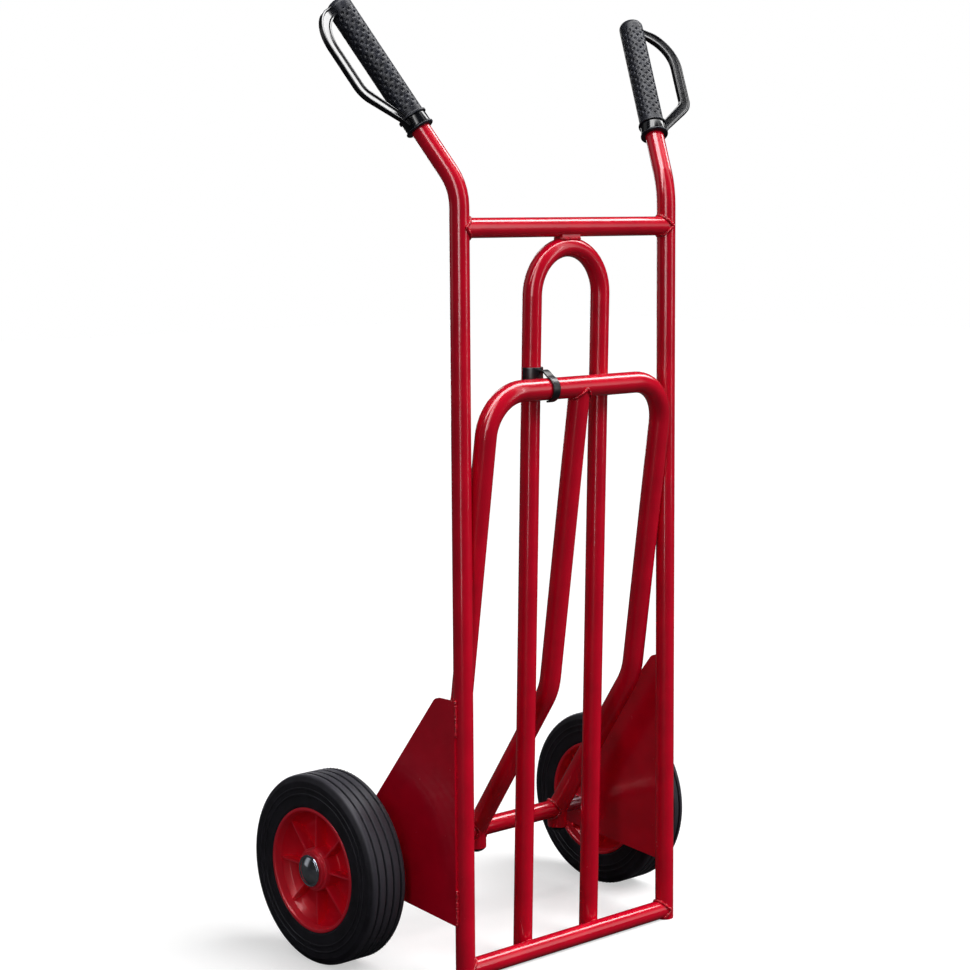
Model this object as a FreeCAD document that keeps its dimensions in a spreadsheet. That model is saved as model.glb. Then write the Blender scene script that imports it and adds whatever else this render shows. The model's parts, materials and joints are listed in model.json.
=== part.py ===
"""Folding-toe hand truck: tubular frame, two wheels on a fixed axle, a toe frame that
folds about the axle, a strap clip that holds it up, and two grips with knuckle guards.
Millimetres. X across the width, Y from the load side to the wheels, Z up.
The origin is on the floor, at the centre of the footprint."""
import FreeCAD, Part
import math
import os
import Sketcher
from FreeCAD import Placement, Rotation, Vector

SIZES = {
    # frame
    "tube_radius": 12.5,          # every frame tube
    "tube_wall": 2.0,
    "frame_half_width": 185.0,    # upright centre lines from the middle
    "top_crossbar_height": 950.0,
    "bend_rise": 49.3,            # from the top crossbar to where upright and handle meet
    "upright_bend_radius": 75.0,
    "handle_tilt": 34.8,          # degrees from vertical
    "handle_azimuth": 61.45,      # degrees from +X toward +Y
    "handle_tube_reach": 270.0,   # from the bend along the handle
    "hoop_half_width": 61.0,
    "hoop_gap": 0.2,              # between the hoop's apex and the top crossbar
    "stub_width": 32.0,
    "stub_depth": 16.0,
    "weld_bead": 3.0,
    # side plates
    "plate_thickness": 3.0,
    "plate_bottom": 73.0,
    "plate_top": 363.0,
    "plate_top_depth": 36.0,
    "plate_behind_axle": 30.0,
    "plate_above_axle": 17.0,
    "plate_below_axle": 30.0,
    "plate_corner": 14.0,
    "plate_bead_length": 46.0,
    # axle and wheels
    "axle_radius": 10.0,
    "axle_back": 182.0,           # behind the frame plane
    "running_gap": 0.05,          # radial, on the axle
    "end_gap": 0.3,               # between pieces that turn face to face
    "plate_to_wheel": 29.5,       # open space between a side plate and its wheel
    "wheel_radius": 125.0,
    "wheel_width": 60.0,
    "tyre_shoulder": 8.0,
    "tread_depth": 3.0,
    "tread_groove": 4.0,
    "tread_pitch": 12.0,
    "tyre_height": 43.0,          # from the rim to the tread
    "rim_lip": 4.0,
    "rim_lip_height": 3.0,
    "rim_channel_half_width": 10.0,
    "rim_channel_depth": 10.0,
    "dish_drop": 24.0,            # from the rim to the foot of the dish
    "web_half_thickness": 4.0,
    "rib_thickness": 4.0,
    "rib_count": 8,               # on each face of a wheel
    "boss_wall": 14.0,
    "bush_wall": 4.0,
    "spacer_wall": 4.0,
    "washer_land": 7.0,
    "washer_thickness": 1.7,
    "cap_land": 11.0,
    "cap_edge": 1.5,
    "cap_brim": 4.0,
    "cap_dome_height": 5.0,
    # folding toe frame
    "toe_radius": 14.0,
    "toe_wall": 2.0,
    "toe_side_gap": 1.5,          # between an outer leg and its upright
    "toe_rest_gap": 0.5,          # between the stowed cross member and the hoop
    "toe_drop": 177.8,            # from the hoop's apex to the stowed cross member
    "toe_corner_radius": 55.0,
    "toe_elbow_back": 36.0,
    "toe_elbow_height": 343.0,
    "toe_elbow_radius": 80.0,
    "tail_land": 1.0,             # between a leg's plug and the axle
    "toe_tail_radius": 30.0,
    "pivot_wall": 2.5,
    "plug_dome": 7.0,
    "plug_depth": 15.0,
    # strap clip
    "clip_thickness": 3.0,
    "clip_gap": 0.3,
    "clip_strip_width": 12.0,
    "clip_strip_inset": 5.0,      # from the hoop's rail toward the middle
    "clip_band_height": 18.5,
    "clip_band_lift": 18.0,       # from the cross member to the saddle's middle
    "clip_wrap_start": 50.0,      # degrees from +Y toward +Z, round the cross member
    "clip_wrap_end": 265.0,
    # grips and knuckle guards, measured along the handle from the bend
    "grip_start": 86.0,
    "grip_end_wall": 8.0,         # past the handle tube's end
    "grip_wall": 3.9,
    "neck_wall": 2.5,
    "grip_crown": 9.0,
    "collar_lip": 2.4,
    "collar_thickness": 3.0,
    "collar_spacing": 17.0,
    "guard_foot_rise": 12.0,      # foot and knee, from the grip's start
    "guard_knee_rise": 64.0,
    "guard_room": 46.6,           # from the grip to the guard's centre line
    "guard_shoulder_drop": 28.0,  # shoulder and head, from the grip's end
    "guard_head_drop": 10.0,
    "guard_turn": 8.0,            # degrees that the D leans forward about the grip
    "guard_overlap": 3.0,         # the root's depth in the neck, before it is trimmed
    "guard_width": 15.5,
    "guard_thickness": 7.0,
    "guard_web": 3.0,
    "guard_rim": 2.6,
    "guard_knee_radius": 25.0,
    "guard_shoulder_radius": 50.0,
    "guard_ring_gap": 0.5,        # between the ring and each collar
    "guard_ring_lip": 2.0,        # how far the collars stand past the ring
}

# Sizes that follow from the others, as formulas in the same sheet.
DERIVED = {
    "bend_height": "top_crossbar_height + bend_rise",
    "hoop_apex_height": "top_crossbar_height - 2 * tube_radius - hoop_gap",
    "toe_height": "hoop_apex_height - toe_drop",
    "toe_half_width": "frame_half_width - tube_radius - toe_radius - toe_side_gap",
    "wheel_offset": "frame_half_width + tube_radius + plate_thickness + plate_to_wheel"
                    " + wheel_width / 2",
    "rim_radius": "wheel_radius - tyre_height",
    "dish_radius": "rim_radius - dish_drop",
    "bush_radius": "axle_radius + bush_wall",
    "boss_radius": "bush_radius + boss_wall",
    "spacer_radius": "axle_radius + spacer_wall",
    "washer_radius": "axle_radius + washer_land",
    "cap_radius": "axle_radius + cap_land",
    "cap_dome_radius": "cap_radius - cap_brim",
    "pivot_tube_radius": "axle_radius + pivot_wall",
    "toe_tail": "axle_radius + tail_land + plug_depth",
    "clip_strip_offset": "clip_strip_inset - hoop_half_width",
    "clip_band_middle": "toe_height + clip_band_lift",
    "grip_end": "handle_tube_reach + grip_end_wall",
    "grip_radius": "tube_radius + grip_wall",
    "grip_neck_radius": "tube_radius + neck_wall",
    "collar_radius": "grip_radius + collar_lip",
    "guard_foot": "grip_start + guard_foot_rise",
    "guard_knee": "grip_start + guard_knee_rise",
    "guard_reach": "grip_radius + guard_room",
    "guard_shoulder": "grip_end - guard_shoulder_drop",
    "guard_head": "grip_end - guard_head_drop",
    "guard_root": "grip_neck_radius - guard_overlap",
}

SMALLEST_BEAD = 1.0  # mm3; smaller scraps left by a cut are dropped

doc = FreeCAD.newDocument("hand_truck")
sheet = doc.addObject("Spreadsheet::Sheet", "Sizes")
formulas = {alias: f"={formula}" for alias, formula in DERIVED.items()}
for row, (alias, value) in enumerate({**SIZES, **formulas}.items(), start=1):
    sheet.set(f"A{row}", alias)
    sheet.setAlias(f"B{row}", alias)
    sheet.set(f"B{row}", str(value))
doc.recompute()


def size(alias):
    """The present value of a cell."""
    return float(sheet.get(alias))


# ---------------------------------------------------------------- places worked out once

R_TUBE = size("tube_radius")
R_TOE = size("toe_radius")
HALF_FRAME = size("frame_half_width")
HALF_TOE = size("toe_half_width")
AXLE = Vector(0, size("axle_back"), size("wheel_radius"))
BEND_REACH = size("upright_bend_radius") * math.tan(math.radians(size("handle_tilt") / 2))

# The hoop leans back so that its legs touch the rear of the bottom crossbar.
HOOP_RISE = size("hoop_apex_height") - R_TUBE
HOOP_LEAN = math.degrees(math.asin(2 * R_TUBE / HOOP_RISE))


def hoop_back(height):
    """Y of the hoop's centre line at a height."""
    return (size("hoop_apex_height") - height) * math.tan(math.radians(HOOP_LEAN))


CROSS_MEMBER = Vector(
    0,
    hoop_back(size("toe_height")) - (R_TUBE + R_TOE + size("toe_rest_gap")),
    size("toe_height"))
FRONT = CROSS_MEMBER.y - R_TOE - size("clip_gap") - size("clip_thickness")
BACK = AXLE.y + size("wheel_radius")
# The frame plane is Y = 0 while the pieces are drawn; this moves the footprint's centre there.
SHIFT = Vector(0, -(FRONT + BACK) / 2, 0)


def handle_directions(side):
    """Along the handle, outward across it, and the normal of their plane."""
    tilt = math.radians(size("handle_tilt"))
    azimuth = math.radians(size("handle_azimuth"))
    along = Vector(side * math.sin(tilt) * math.cos(azimuth),
                   math.sin(tilt) * math.sin(azimuth),
                   math.cos(tilt))
    outward = Vector(side, 0, 0) - along * (side * along.x)
    outward.normalize()
    return along, outward, along.cross(outward)


def handle_place(side):
    """Local Z along the handle, local X outward, origin at the bend."""
    along, outward, normal = handle_directions(side)
    turn = Rotation(outward, normal, along, "ZXY")
    return Placement(Vector(side * HALF_FRAME, 0, size("bend_height")), turn)


# ---------------------------------------------------------------- drawing helpers

pieces = []


def finish(piece, place=None):
    """Names the sub-part's place in the shared frame and lists it for export."""
    place = place or Placement()
    piece.Placement = Placement(SHIFT, Rotation()).multiply(place)
    pieces.append(piece)
    return piece


def new_body(name):
    body = doc.addObject("PartDesign::Body", name)
    body.Label = name
    return body


def new_sketch(body, name, plane):
    """A sketch on one of the body's own origin planes."""
    sketch = body.newObject("Sketcher::SketchObject", name)
    sketch.Label = f"{body.Label}_{name}"
    face = next(item for item in body.Origin.OriginFeatures if item.Role == plane)
    sketch.AttachmentSupport = [(face, "")]
    sketch.MapMode = "FlatFace"
    return sketch


def value_of(expression):
    """The number an expression over the sheet gives now."""
    sheet.set("D1", "=" + expression.replace("Sizes.", ""))
    doc.recompute([sheet])
    return float(sheet.get("D1"))


def bind(sketch, kind, elements, expression):
    """Adds a dimension and ties it to the sheet."""
    number = value_of(expression)
    if kind == "Angle":
        number = math.radians(number)
        expression = f"({expression}) * 1 deg"
    index = sketch.addConstraint(Sketcher.Constraint(kind, *elements, number))
    sketch.setExpression(f"Constraints[{index}]", expression)


def bind_point(sketch, geometry, end, across, up):
    """Ties a vertex to two expressions, measured from the sketch's origin."""
    for kind, expression in (("DistanceX", across), ("DistanceY", up)):
        bind(sketch, kind, (-1, 1, geometry, end), expression)


def add_circle(sketch, radius, across="0", up="0"):
    centre = Vector(value_of(across), value_of(up), 0)
    circle = sketch.addGeometry(Part.Circle(centre, Vector(0, 0, 1), value_of(radius)))
    bind(sketch, "Radius", (circle,), radius)
    bind_point(sketch, circle, 3, across, up)
    return circle


def add_outline(sketch, corners):
    """A closed outline of straight lines through bound corners."""
    spots = [Vector(value_of(across), value_of(up), 0) for across, up in corners]
    lines = []
    for index, spot in enumerate(spots):
        following = spots[(index + 1) % len(spots)]
        lines.append(sketch.addGeometry(Part.LineSegment(spot, following)))
    for index, line in enumerate(lines):
        following = lines[(index + 1) % len(lines)]
        sketch.addConstraint(Sketcher.Constraint("Coincident", line, 2, following, 1))
        bind_point(sketch, line, 1, *corners[index])
    return lines


def pad(body, sketch, length, midplane=True):
    feature = body.newObject("PartDesign::Pad", "Pad")
    feature.Profile = sketch
    feature.Midplane = midplane
    feature.setExpression("Length", length)
    return feature


def pocket(body, sketch, length):
    """A cut both ways from the sketch's plane; it must remove material."""
    doc.recompute()
    before = body.Shape.Volume
    feature = body.newObject("PartDesign::Pocket", "Pocket")
    feature.Profile = sketch
    feature.Midplane = True
    feature.setExpression("Length", length)
    doc.recompute()
    if body.Shape.Volume >= before:
        raise RuntimeError(f"{body.Label}: the pocket cut nothing")
    return feature


def revolve(body, sketch, kind="Revolution", axis="V_Axis"):
    feature = body.newObject(f"PartDesign::{kind}", kind)
    feature.Profile = sketch
    feature.ReferenceAxis = (sketch, [axis])
    feature.Angle = 360
    return feature


def ring_profile(body, plane, radius, wall):
    """Two circles about the origin: the section of a tube."""
    profile = new_sketch(body, "section", plane)
    add_circle(profile, radius)
    add_circle(profile, f"{radius} - {wall}")
    return profile


def sweep(body, profile, spine, edges):
    doc.recompute()
    pipe = body.newObject("PartDesign::AdditivePipe", "Pipe")
    pipe.Profile = (profile, [""])
    pipe.Spine = (spine, [f"Edge{number}" for number in range(1, edges + 1)])
    return pipe


def rounded_path(corners, radii):
    """A wire through 3-D corners, with a tangent arc of each given radius between runs."""
    edges = []
    start = corners[0]
    for index, radius in enumerate(radii, start=1):
        corner = corners[index]
        arriving = (corner - corners[index - 1]).normalize()
        leaving = (corners[index + 1] - corner).normalize()
        turn = arriving.getAngle(leaving)
        reach = radius * math.tan(turn / 2)
        first = corner - arriving * reach
        last = corner + leaving * reach
        inward = (leaving - arriving).normalize()
        middle = corner + inward * (radius / math.cos(turn / 2) - radius)
        edges.append(Part.LineSegment(start, first).toShape())
        edges.append(Part.Arc(first, middle, last).toShape())
        start = last
    edges.append(Part.LineSegment(start, corners[-1]).toShape())
    return Part.Wire(edges)


def swept(path, outer, inner=0.0):
    """A tube, or a rod with no inner radius, along a wire."""
    edge = path.Edges[0]
    start = edge.valueAt(edge.FirstParameter)
    heading = edge.tangentAt(edge.FirstParameter)
    shape = path.makePipe(Part.Face(Part.Wire(Part.makeCircle(outer, start, heading))))
    if inner:
        shape = shape.cut(path.makePipe(
            Part.Face(Part.Wire(Part.makeCircle(inner, start, heading)))))
    return shape


def rod_x(radius, first, last, centre):
    """A solid rod along X between two X values."""
    base = Vector(first, centre.y, centre.z)
    return Part.makeCylinder(radius, last - first, base, Vector(1, 0, 0))


def bead(first, second, fat_first, fat_second):
    """Weld metal: what lies within the bead's size of both pieces and in neither."""
    return fat_first.common(fat_second).cut(first).cut(second)


def plain_piece(name, shape):
    piece = doc.addObject("Part::Feature", name)
    piece.Label = name
    piece.Shape = shape
    return finish(piece)


# ---------------------------------------------------------------- frame

def upright_path(body):
    """Straight leg, bend and handle run, in the plane of the bend."""
    path = new_sketch(body, "path", "XZ_Plane")
    tilt = math.radians(size("handle_tilt"))
    radius = size("upright_bend_radius")
    reach = BEND_REACH
    top = size("bend_height")
    slope = Vector(math.sin(tilt), math.cos(tilt), 0)
    bend_start = Vector(0, top - reach, 0)
    bend_end = Vector(0, top, 0) + slope * reach
    leg = path.addGeometry(Part.LineSegment(Vector(), bend_start))
    arc = path.addGeometry(Part.ArcOfCircle(
        Part.Circle(bend_start + Vector(radius, 0, 0), Vector(0, 0, 1), radius),
        math.pi - tilt, math.pi))
    end = Vector(0, top, 0) + slope * size("handle_tube_reach")
    run = path.addGeometry(Part.LineSegment(bend_end, end))
    bend_reach = "Sizes.upright_bend_radius * tan(Sizes.handle_tilt * 0.5 deg)"
    path.addConstraint(Sketcher.Constraint("Coincident", leg, 1, -1, 1))
    path.addConstraint(Sketcher.Constraint("Vertical", leg))
    path.addConstraint(Sketcher.Constraint("Tangent", leg, 2, arc, 2))
    path.addConstraint(Sketcher.Constraint("Tangent", arc, 1, run, 1))
    path.addConstraint(Sketcher.Constraint("Radius", arc, radius))
    path.setExpression("Constraints[4]", "Sizes.upright_bend_radius")
    for line, whole in ((leg, "Sizes.bend_height"), (run, "Sizes.handle_tube_reach")):
        index = path.addConstraint(Sketcher.Constraint(
            "Distance", line, path.Geometry[line].length()))
        path.setExpression(f"Constraints[{index}]", f"{whole} - {bend_reach}")
    bind(path, "Angle", (run,), "90 - Sizes.handle_tilt")
    return path


def make_upright(name, side):
    body = new_body(name)
    path = upright_path(body)
    section = ring_profile(body, "XY_Plane", "Sizes.tube_radius", "Sizes.tube_wall")
    sweep(body, section, path, 3)
    azimuth = size("handle_azimuth")
    heading = azimuth if side > 0 else 180 - azimuth
    spot = Vector(side * HALF_FRAME, 0, 0)
    return finish(body, Placement(spot, Rotation(Vector(0, 0, 1), heading)))


def make_crossbar(name, height):
    """A tube whose ends are saddled onto the uprights."""
    body = new_body(name)
    section = ring_profile(body, "YZ_Plane", "Sizes.tube_radius", "Sizes.tube_wall")
    pad(body, section, "2 * Sizes.frame_half_width")
    saddles = new_sketch(body, "saddles", "XY_Plane")
    for sign in ("", "-"):
        add_circle(saddles, "Sizes.tube_radius", f"{sign}Sizes.frame_half_width")
    pocket(body, saddles, "4 * Sizes.tube_radius")
    return finish(body, Placement(Vector(0, 0, height), Rotation()))


def hoop_point(across, height):
    """A point on the hoop's leaning plane."""
    return Vector(across, hoop_back(height), height)


def hoop_path():
    """Up one leg from the floor, round the arch and down the other."""
    half = size("hoop_half_width")
    apex = size("hoop_apex_height")
    springing = apex - half * math.cos(math.radians(HOOP_LEAN))
    sole = R_TUBE * math.sin(math.radians(HOOP_LEAN))
    left = Part.LineSegment(hoop_point(-half, sole), hoop_point(-half, springing))
    arch = Part.Arc(hoop_point(-half, springing), hoop_point(0, apex),
                    hoop_point(half, springing))
    right = Part.LineSegment(hoop_point(half, springing), hoop_point(half, sole))
    return Part.Wire([left.toShape(), arch.toShape(), right.toShape()])


def hoop_solid(extra=0.0, inner=0.0):
    return swept(hoop_path(), R_TUBE + extra, inner)


def make_inner_hoop():
    return plain_piece("inner_hoop", hoop_solid(inner=R_TUBE - size("tube_wall")))


def crossbar_rod(height, extra=0.0):
    return rod_x(R_TUBE + extra, -HALF_FRAME, HALF_FRAME, Vector(0, 0, height))


def upright_rod(side, extra=0.0):
    base = Vector(side * HALF_FRAME, 0, 0)
    return Part.makeCylinder(R_TUBE + extra, size("bend_height") - BEND_REACH, base)


def make_hoop_stub():
    """A short lug that joins the hoop's apex to the top crossbar."""
    width = size("stub_width")
    depth = size("stub_depth")
    low = size("hoop_apex_height")
    high = size("top_crossbar_height")
    block = Part.makeBox(width, depth, high - low, Vector(-width / 2, -depth / 2, low))
    stub = block.cut(hoop_solid()).cut(crossbar_rod(high))
    return plain_piece("hoop_stub", max(stub.Solids, key=lambda solid: solid.Volume))


def make_side_plate(name, side):
    body = new_body(name)
    outline = new_sketch(body, "outline", "YZ_Plane")
    back = "Sizes.axle_back + Sizes.plate_behind_axle"
    add_outline(outline, [
        ("0", "Sizes.plate_bottom"),
        (back, "Sizes.wheel_radius - Sizes.plate_below_axle"),
        (back, "Sizes.wheel_radius + Sizes.plate_above_axle"),
        ("Sizes.plate_top_depth", "Sizes.plate_top"),
        ("0", "Sizes.plate_top")])
    slab = pad(body, outline, "Sizes.plate_thickness")
    doc.recompute()
    corners = []
    for index, edge in enumerate(body.Shape.Edges, start=1):
        across = abs(edge.Length - size("plate_thickness")) < 1e-6
        if across and edge.CenterOfMass.y > size("plate_top_depth") / 2:
            corners.append(f"Edge{index}")
    fillet = body.newObject("PartDesign::Fillet", "Corners")
    fillet.Base = (slab, corners)
    fillet.setExpression("Radius", "Sizes.plate_corner")
    bore = new_sketch(body, "axle_hole", "YZ_Plane")
    add_circle(bore, "Sizes.axle_radius", "Sizes.axle_back", "Sizes.wheel_radius")
    pocket(body, bore, "4 * Sizes.plate_thickness")
    offset = HALF_FRAME + R_TUBE + size("plate_thickness") / 2
    return finish(body, Placement(Vector(side * offset, 0, 0), Rotation()))


def plate_beads(side):
    """Two short runs of weld down the plate's front edge."""
    length = size("plate_bead_length")
    radius = size("weld_bead")
    outer = HALF_FRAME + R_TUBE
    thick = size("plate_thickness")
    beads = []
    for low in (size("plate_bottom"), size("plate_top") - length):
        spot = Vector(side * (outer + thick / 2), -radius / 4, low)
        bar = Part.makeCylinder(radius, length, spot)
        corner = Vector(min(side * outer, side * (outer + thick)), 0, low)
        plate = Part.makeBox(thick, 2 * radius, length, corner)
        beads.append(bar.cut(plate).cut(upright_rod(side)))
    return beads


def make_frame_welds():
    extra = size("weld_bead")
    beads = []
    for side in (-1, 1):
        for height in (R_TUBE, size("top_crossbar_height")):
            beads.append(bead(upright_rod(side), crossbar_rod(height),
                              upright_rod(side, extra), crossbar_rod(height, extra)))
        beads += plate_beads(side)
    beads.append(bead(hoop_solid(), crossbar_rod(R_TUBE),
                      hoop_solid(extra), crossbar_rod(R_TUBE, extra)))
    reach = 2 * HALF_FRAME
    above_floor = Part.makeBox(2 * reach, 2 * reach, size("bend_height"),
                               Vector(-reach, -reach, extra / 2))
    solids = []
    for shape in beads:
        solids += shape.common(above_floor).Solids
    whole = [solid for solid in solids if solid.Volume > SMALLEST_BEAD]
    return plain_piece("frame_welds", Part.makeCompound(whole))


# ---------------------------------------------------------------- axle

def make_turned(name, corners, place):
    """A body of revolution about local X, from (x, radius) corners."""
    body = new_body(name)
    section = new_sketch(body, "section", "XZ_Plane")
    add_outline(section, corners)
    revolve(body, section, axis="H_Axis")
    return finish(body, place)


def side_place(side):
    """On the axle line, with local X pointing outward on that side."""
    turn = Rotation() if side > 0 else Rotation(Vector(0, 0, 1), 180)
    return Placement(AXLE, turn)


WHEEL_OUTER = "Sizes.wheel_offset + Sizes.wheel_width / 2"
WHEEL_INNER = "Sizes.wheel_offset - Sizes.wheel_width / 2"
PLATE_OUTER = "Sizes.frame_half_width + Sizes.tube_radius + Sizes.plate_thickness"
BORE = "Sizes.axle_radius + Sizes.running_gap"
WASHER_IN = f"{WHEEL_OUTER} + Sizes.end_gap"
WASHER_OUT = f"{WASHER_IN} + Sizes.washer_thickness"


def make_axle_rod():
    body = new_body("axle_rod")
    section = new_sketch(body, "section", "YZ_Plane")
    add_circle(section, "Sizes.axle_radius")
    pad(body, section, f"2 * ({WASHER_OUT} + Sizes.cap_edge)")
    return finish(body, Placement(AXLE, Rotation()))


def tube_corners(first, last, inner, outer):
    return [(first, inner), (last, inner), (last, outer), (first, outer)]


def make_spacer(name, side):
    corners = tube_corners(PLATE_OUTER, f"{WHEEL_INNER} - Sizes.end_gap",
                           "Sizes.axle_radius", "Sizes.spacer_radius")
    return make_turned(name, corners, side_place(side))


def make_washer(name, side):
    corners = tube_corners(WASHER_IN, WASHER_OUT, "Sizes.axle_radius", "Sizes.washer_radius")
    return make_turned(name, corners, side_place(side))


def make_axle_cap(name, side):
    """A pressed cap: a flat rim, then a shallow dome over the axle's end."""
    body = new_body(name)
    section = new_sketch(body, "section", "XZ_Plane")
    base = value_of(WASHER_OUT)
    edge = base + size("cap_edge")
    rim = size("cap_radius")
    dome = size("cap_dome_radius")
    height = size("cap_dome_height")
    bulge = (dome ** 2 + height ** 2) / (2 * height)
    peak = Vector(edge + height, 0, 0)
    spots = [Vector(edge, 0, 0), Vector(edge, size("axle_radius"), 0),
             Vector(base, size("axle_radius"), 0), Vector(base, rim, 0),
             Vector(edge, rim, 0), Vector(edge, dome, 0)]
    lines = [section.addGeometry(Part.LineSegment(a, b)) for a, b in zip(spots, spots[1:])]
    spread = math.asin(dome / bulge)
    arc = section.addGeometry(Part.ArcOfCircle(
        Part.Circle(peak - Vector(bulge, 0, 0), Vector(0, 0, 1), bulge), 0, spread))
    closing = section.addGeometry(Part.LineSegment(peak, spots[0]))
    for line, following in zip(lines, lines[1:]):
        section.addConstraint(Sketcher.Constraint("Coincident", line, 2, following, 1))
    section.addConstraint(Sketcher.Constraint("Coincident", lines[-1], 2, arc, 2))
    section.addConstraint(Sketcher.Constraint("Coincident", arc, 1, closing, 1))
    section.addConstraint(Sketcher.Constraint("Coincident", closing, 2, lines[0], 1))
    outer = f"{WASHER_OUT} + Sizes.cap_edge"
    for line, across, up in ((0, outer, "0"), (1, outer, "Sizes.axle_radius"),
                             (2, WASHER_OUT, "Sizes.axle_radius"),
                             (3, WASHER_OUT, "Sizes.cap_radius"),
                             (4, outer, "Sizes.cap_radius")):
        bind_point(section, lines[line], 1, across, up)
    bind_point(section, lines[4], 2, outer, "Sizes.cap_dome_radius")
    bind_point(section, closing, 1, f"{outer} + Sizes.cap_dome_height", "0")
    section.addConstraint(Sketcher.Constraint("PointOnObject", arc, 3, -1))
    revolve(body, section, axis="H_Axis")
    return finish(body, side_place(side))


# ---------------------------------------------------------------- wheels

def wheel_place(side):
    return Placement(AXLE + Vector(side * size("wheel_offset"), 0, 0),
                     side_place(side).Rotation)


HALF_WHEEL = "Sizes.wheel_width / 2"
RIM_SEAT = "(Sizes.rim_radius - Sizes.rim_lip_height)"
RIM_FLOOR = f"({RIM_SEAT} - Sizes.rim_channel_depth)"
LIP_INNER = f"({HALF_WHEEL} - Sizes.rim_lip)"


def mirrored_outline(half):
    """Corners given for local +X, repeated for local -X to close the outline."""
    return half + [(f"-({across})", up) for across, up in reversed(half)]


def make_tyre(name, side):
    """Solid rubber, with a tongue in the rim's channel and four grooves round the tread."""
    shoulder = "Sizes.tyre_shoulder"
    outline = [
        ("Sizes.rim_channel_half_width", RIM_FLOOR),
        ("Sizes.rim_channel_half_width", RIM_SEAT),
        (LIP_INNER, RIM_SEAT),
        (LIP_INNER, "Sizes.rim_radius"),
        (HALF_WHEEL, "Sizes.rim_radius"),
        (HALF_WHEEL, f"Sizes.wheel_radius - {shoulder}"),
        (f"{HALF_WHEEL} - 0.3 * {shoulder}", f"Sizes.wheel_radius - 0.3 * {shoulder}"),
        (f"{HALF_WHEEL} - {shoulder}", "Sizes.wheel_radius")]
    for place in ("1.5", "0.5"):
        centre = f"{place} * Sizes.tread_pitch"
        floor = "Sizes.wheel_radius - Sizes.tread_depth"
        outline += [(f"{centre} + Sizes.tread_groove / 2", "Sizes.wheel_radius"),
                    (f"{centre} + Sizes.tread_groove / 4", floor),
                    (f"{centre} - Sizes.tread_groove / 4", floor),
                    (f"{centre} - Sizes.tread_groove / 2", "Sizes.wheel_radius")]
    return make_turned(name, mirrored_outline(outline), wheel_place(side))


def make_rim(name, side):
    """A moulded wheel: channelled barrel, dished web, boss and ribs on each face."""
    body = new_body(name)
    section = new_sketch(body, "section", "XZ_Plane")
    lip_top = "Sizes.rim_radius - Sizes.rim_lip"
    outline = [
        ("Sizes.rim_channel_half_width", RIM_FLOOR),
        ("Sizes.rim_channel_half_width", RIM_SEAT),
        (LIP_INNER, RIM_SEAT),
        (LIP_INNER, "Sizes.rim_radius"),
        (HALF_WHEEL, "Sizes.rim_radius"),
        (HALF_WHEEL, lip_top),
        ("Sizes.web_half_thickness", "Sizes.dish_radius"),
        ("Sizes.web_half_thickness", "Sizes.boss_radius"),
        (HALF_WHEEL, "Sizes.boss_radius"),
        (HALF_WHEEL, "Sizes.bush_radius")]
    add_outline(section, mirrored_outline(outline))
    revolve(body, section, axis="H_Axis")
    rib = new_sketch(body, "rib", "XZ_Plane")
    sunk = f"{HALF_WHEEL} - Sizes.rim_lip / 2"
    root = "Sizes.boss_radius - Sizes.rim_lip"
    tip = f"{lip_top} + Sizes.rim_lip / 4"
    add_outline(rib, [
        (sunk, root),
        (sunk, tip),
        ("0", "Sizes.dish_radius + Sizes.rim_lip / 2"),
        (f"-({sunk})", tip),
        (f"-({sunk})", root)])
    pair_of_ribs = pad(body, rib, "Sizes.rib_thickness")
    doc.recompute()
    pattern = body.newObject("PartDesign::PolarPattern", "Ribs")
    pattern.Originals = [pair_of_ribs]
    pattern.Axis = (section, ["H_Axis"])
    pattern.Angle = 360
    pattern.Occurrences = int(size("rib_count"))
    body.Tip = pattern
    return finish(body, wheel_place(side))


def make_bush(name, side):
    corners = tube_corners(f"-{HALF_WHEEL}", HALF_WHEEL, BORE, "Sizes.bush_radius")
    return make_turned(name, corners, wheel_place(side))


# ---------------------------------------------------------------- folding toe frame

ELBOW = Vector(0, size("toe_elbow_back"), size("toe_elbow_height"))
TAIL = AXLE - Vector(0, 0, size("toe_tail"))


def at_x(point, across):
    return Vector(across, point.y, point.z)


def toe_loop_path():
    """Tail, axle, elbow, corner, cross member and down the other side."""
    left = [at_x(spot, -HALF_TOE) for spot in (TAIL, AXLE, ELBOW, CROSS_MEMBER)]
    right = [at_x(spot, HALF_TOE) for spot in (CROSS_MEMBER, ELBOW, AXLE, TAIL)]
    bends = [size("toe_tail_radius"), size("toe_elbow_radius"), size("toe_corner_radius")]
    return rounded_path(left + right, bends + bends[::-1])


def middle_leg_path():
    bends = [size("toe_tail_radius"), size("toe_elbow_radius")]
    return rounded_path([TAIL, AXLE, ELBOW, CROSS_MEMBER], bends)


def cross_rod(extra=0.0):
    straight = HALF_TOE - size("toe_corner_radius")
    return rod_x(R_TOE + extra, -straight, straight, CROSS_MEMBER)


def axle_bore():
    return rod_x(size("axle_radius") + size("running_gap"), -HALF_FRAME, HALF_FRAME, AXLE)


def make_toe_hoop():
    tube = swept(toe_loop_path(), R_TOE, R_TOE - size("toe_wall"))
    return plain_piece("toe_hoop", tube.cut(axle_bore()))


def make_toe_middle_leg():
    """Butts under the cross member, which its top end is saddled to."""
    tube = swept(middle_leg_path(), R_TOE, R_TOE - size("toe_wall"))
    leg = tube.cut(axle_bore()).cut(cross_rod())
    return plain_piece("toe_middle_leg", max(leg.Solids, key=lambda solid: solid.Volume))


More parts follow.
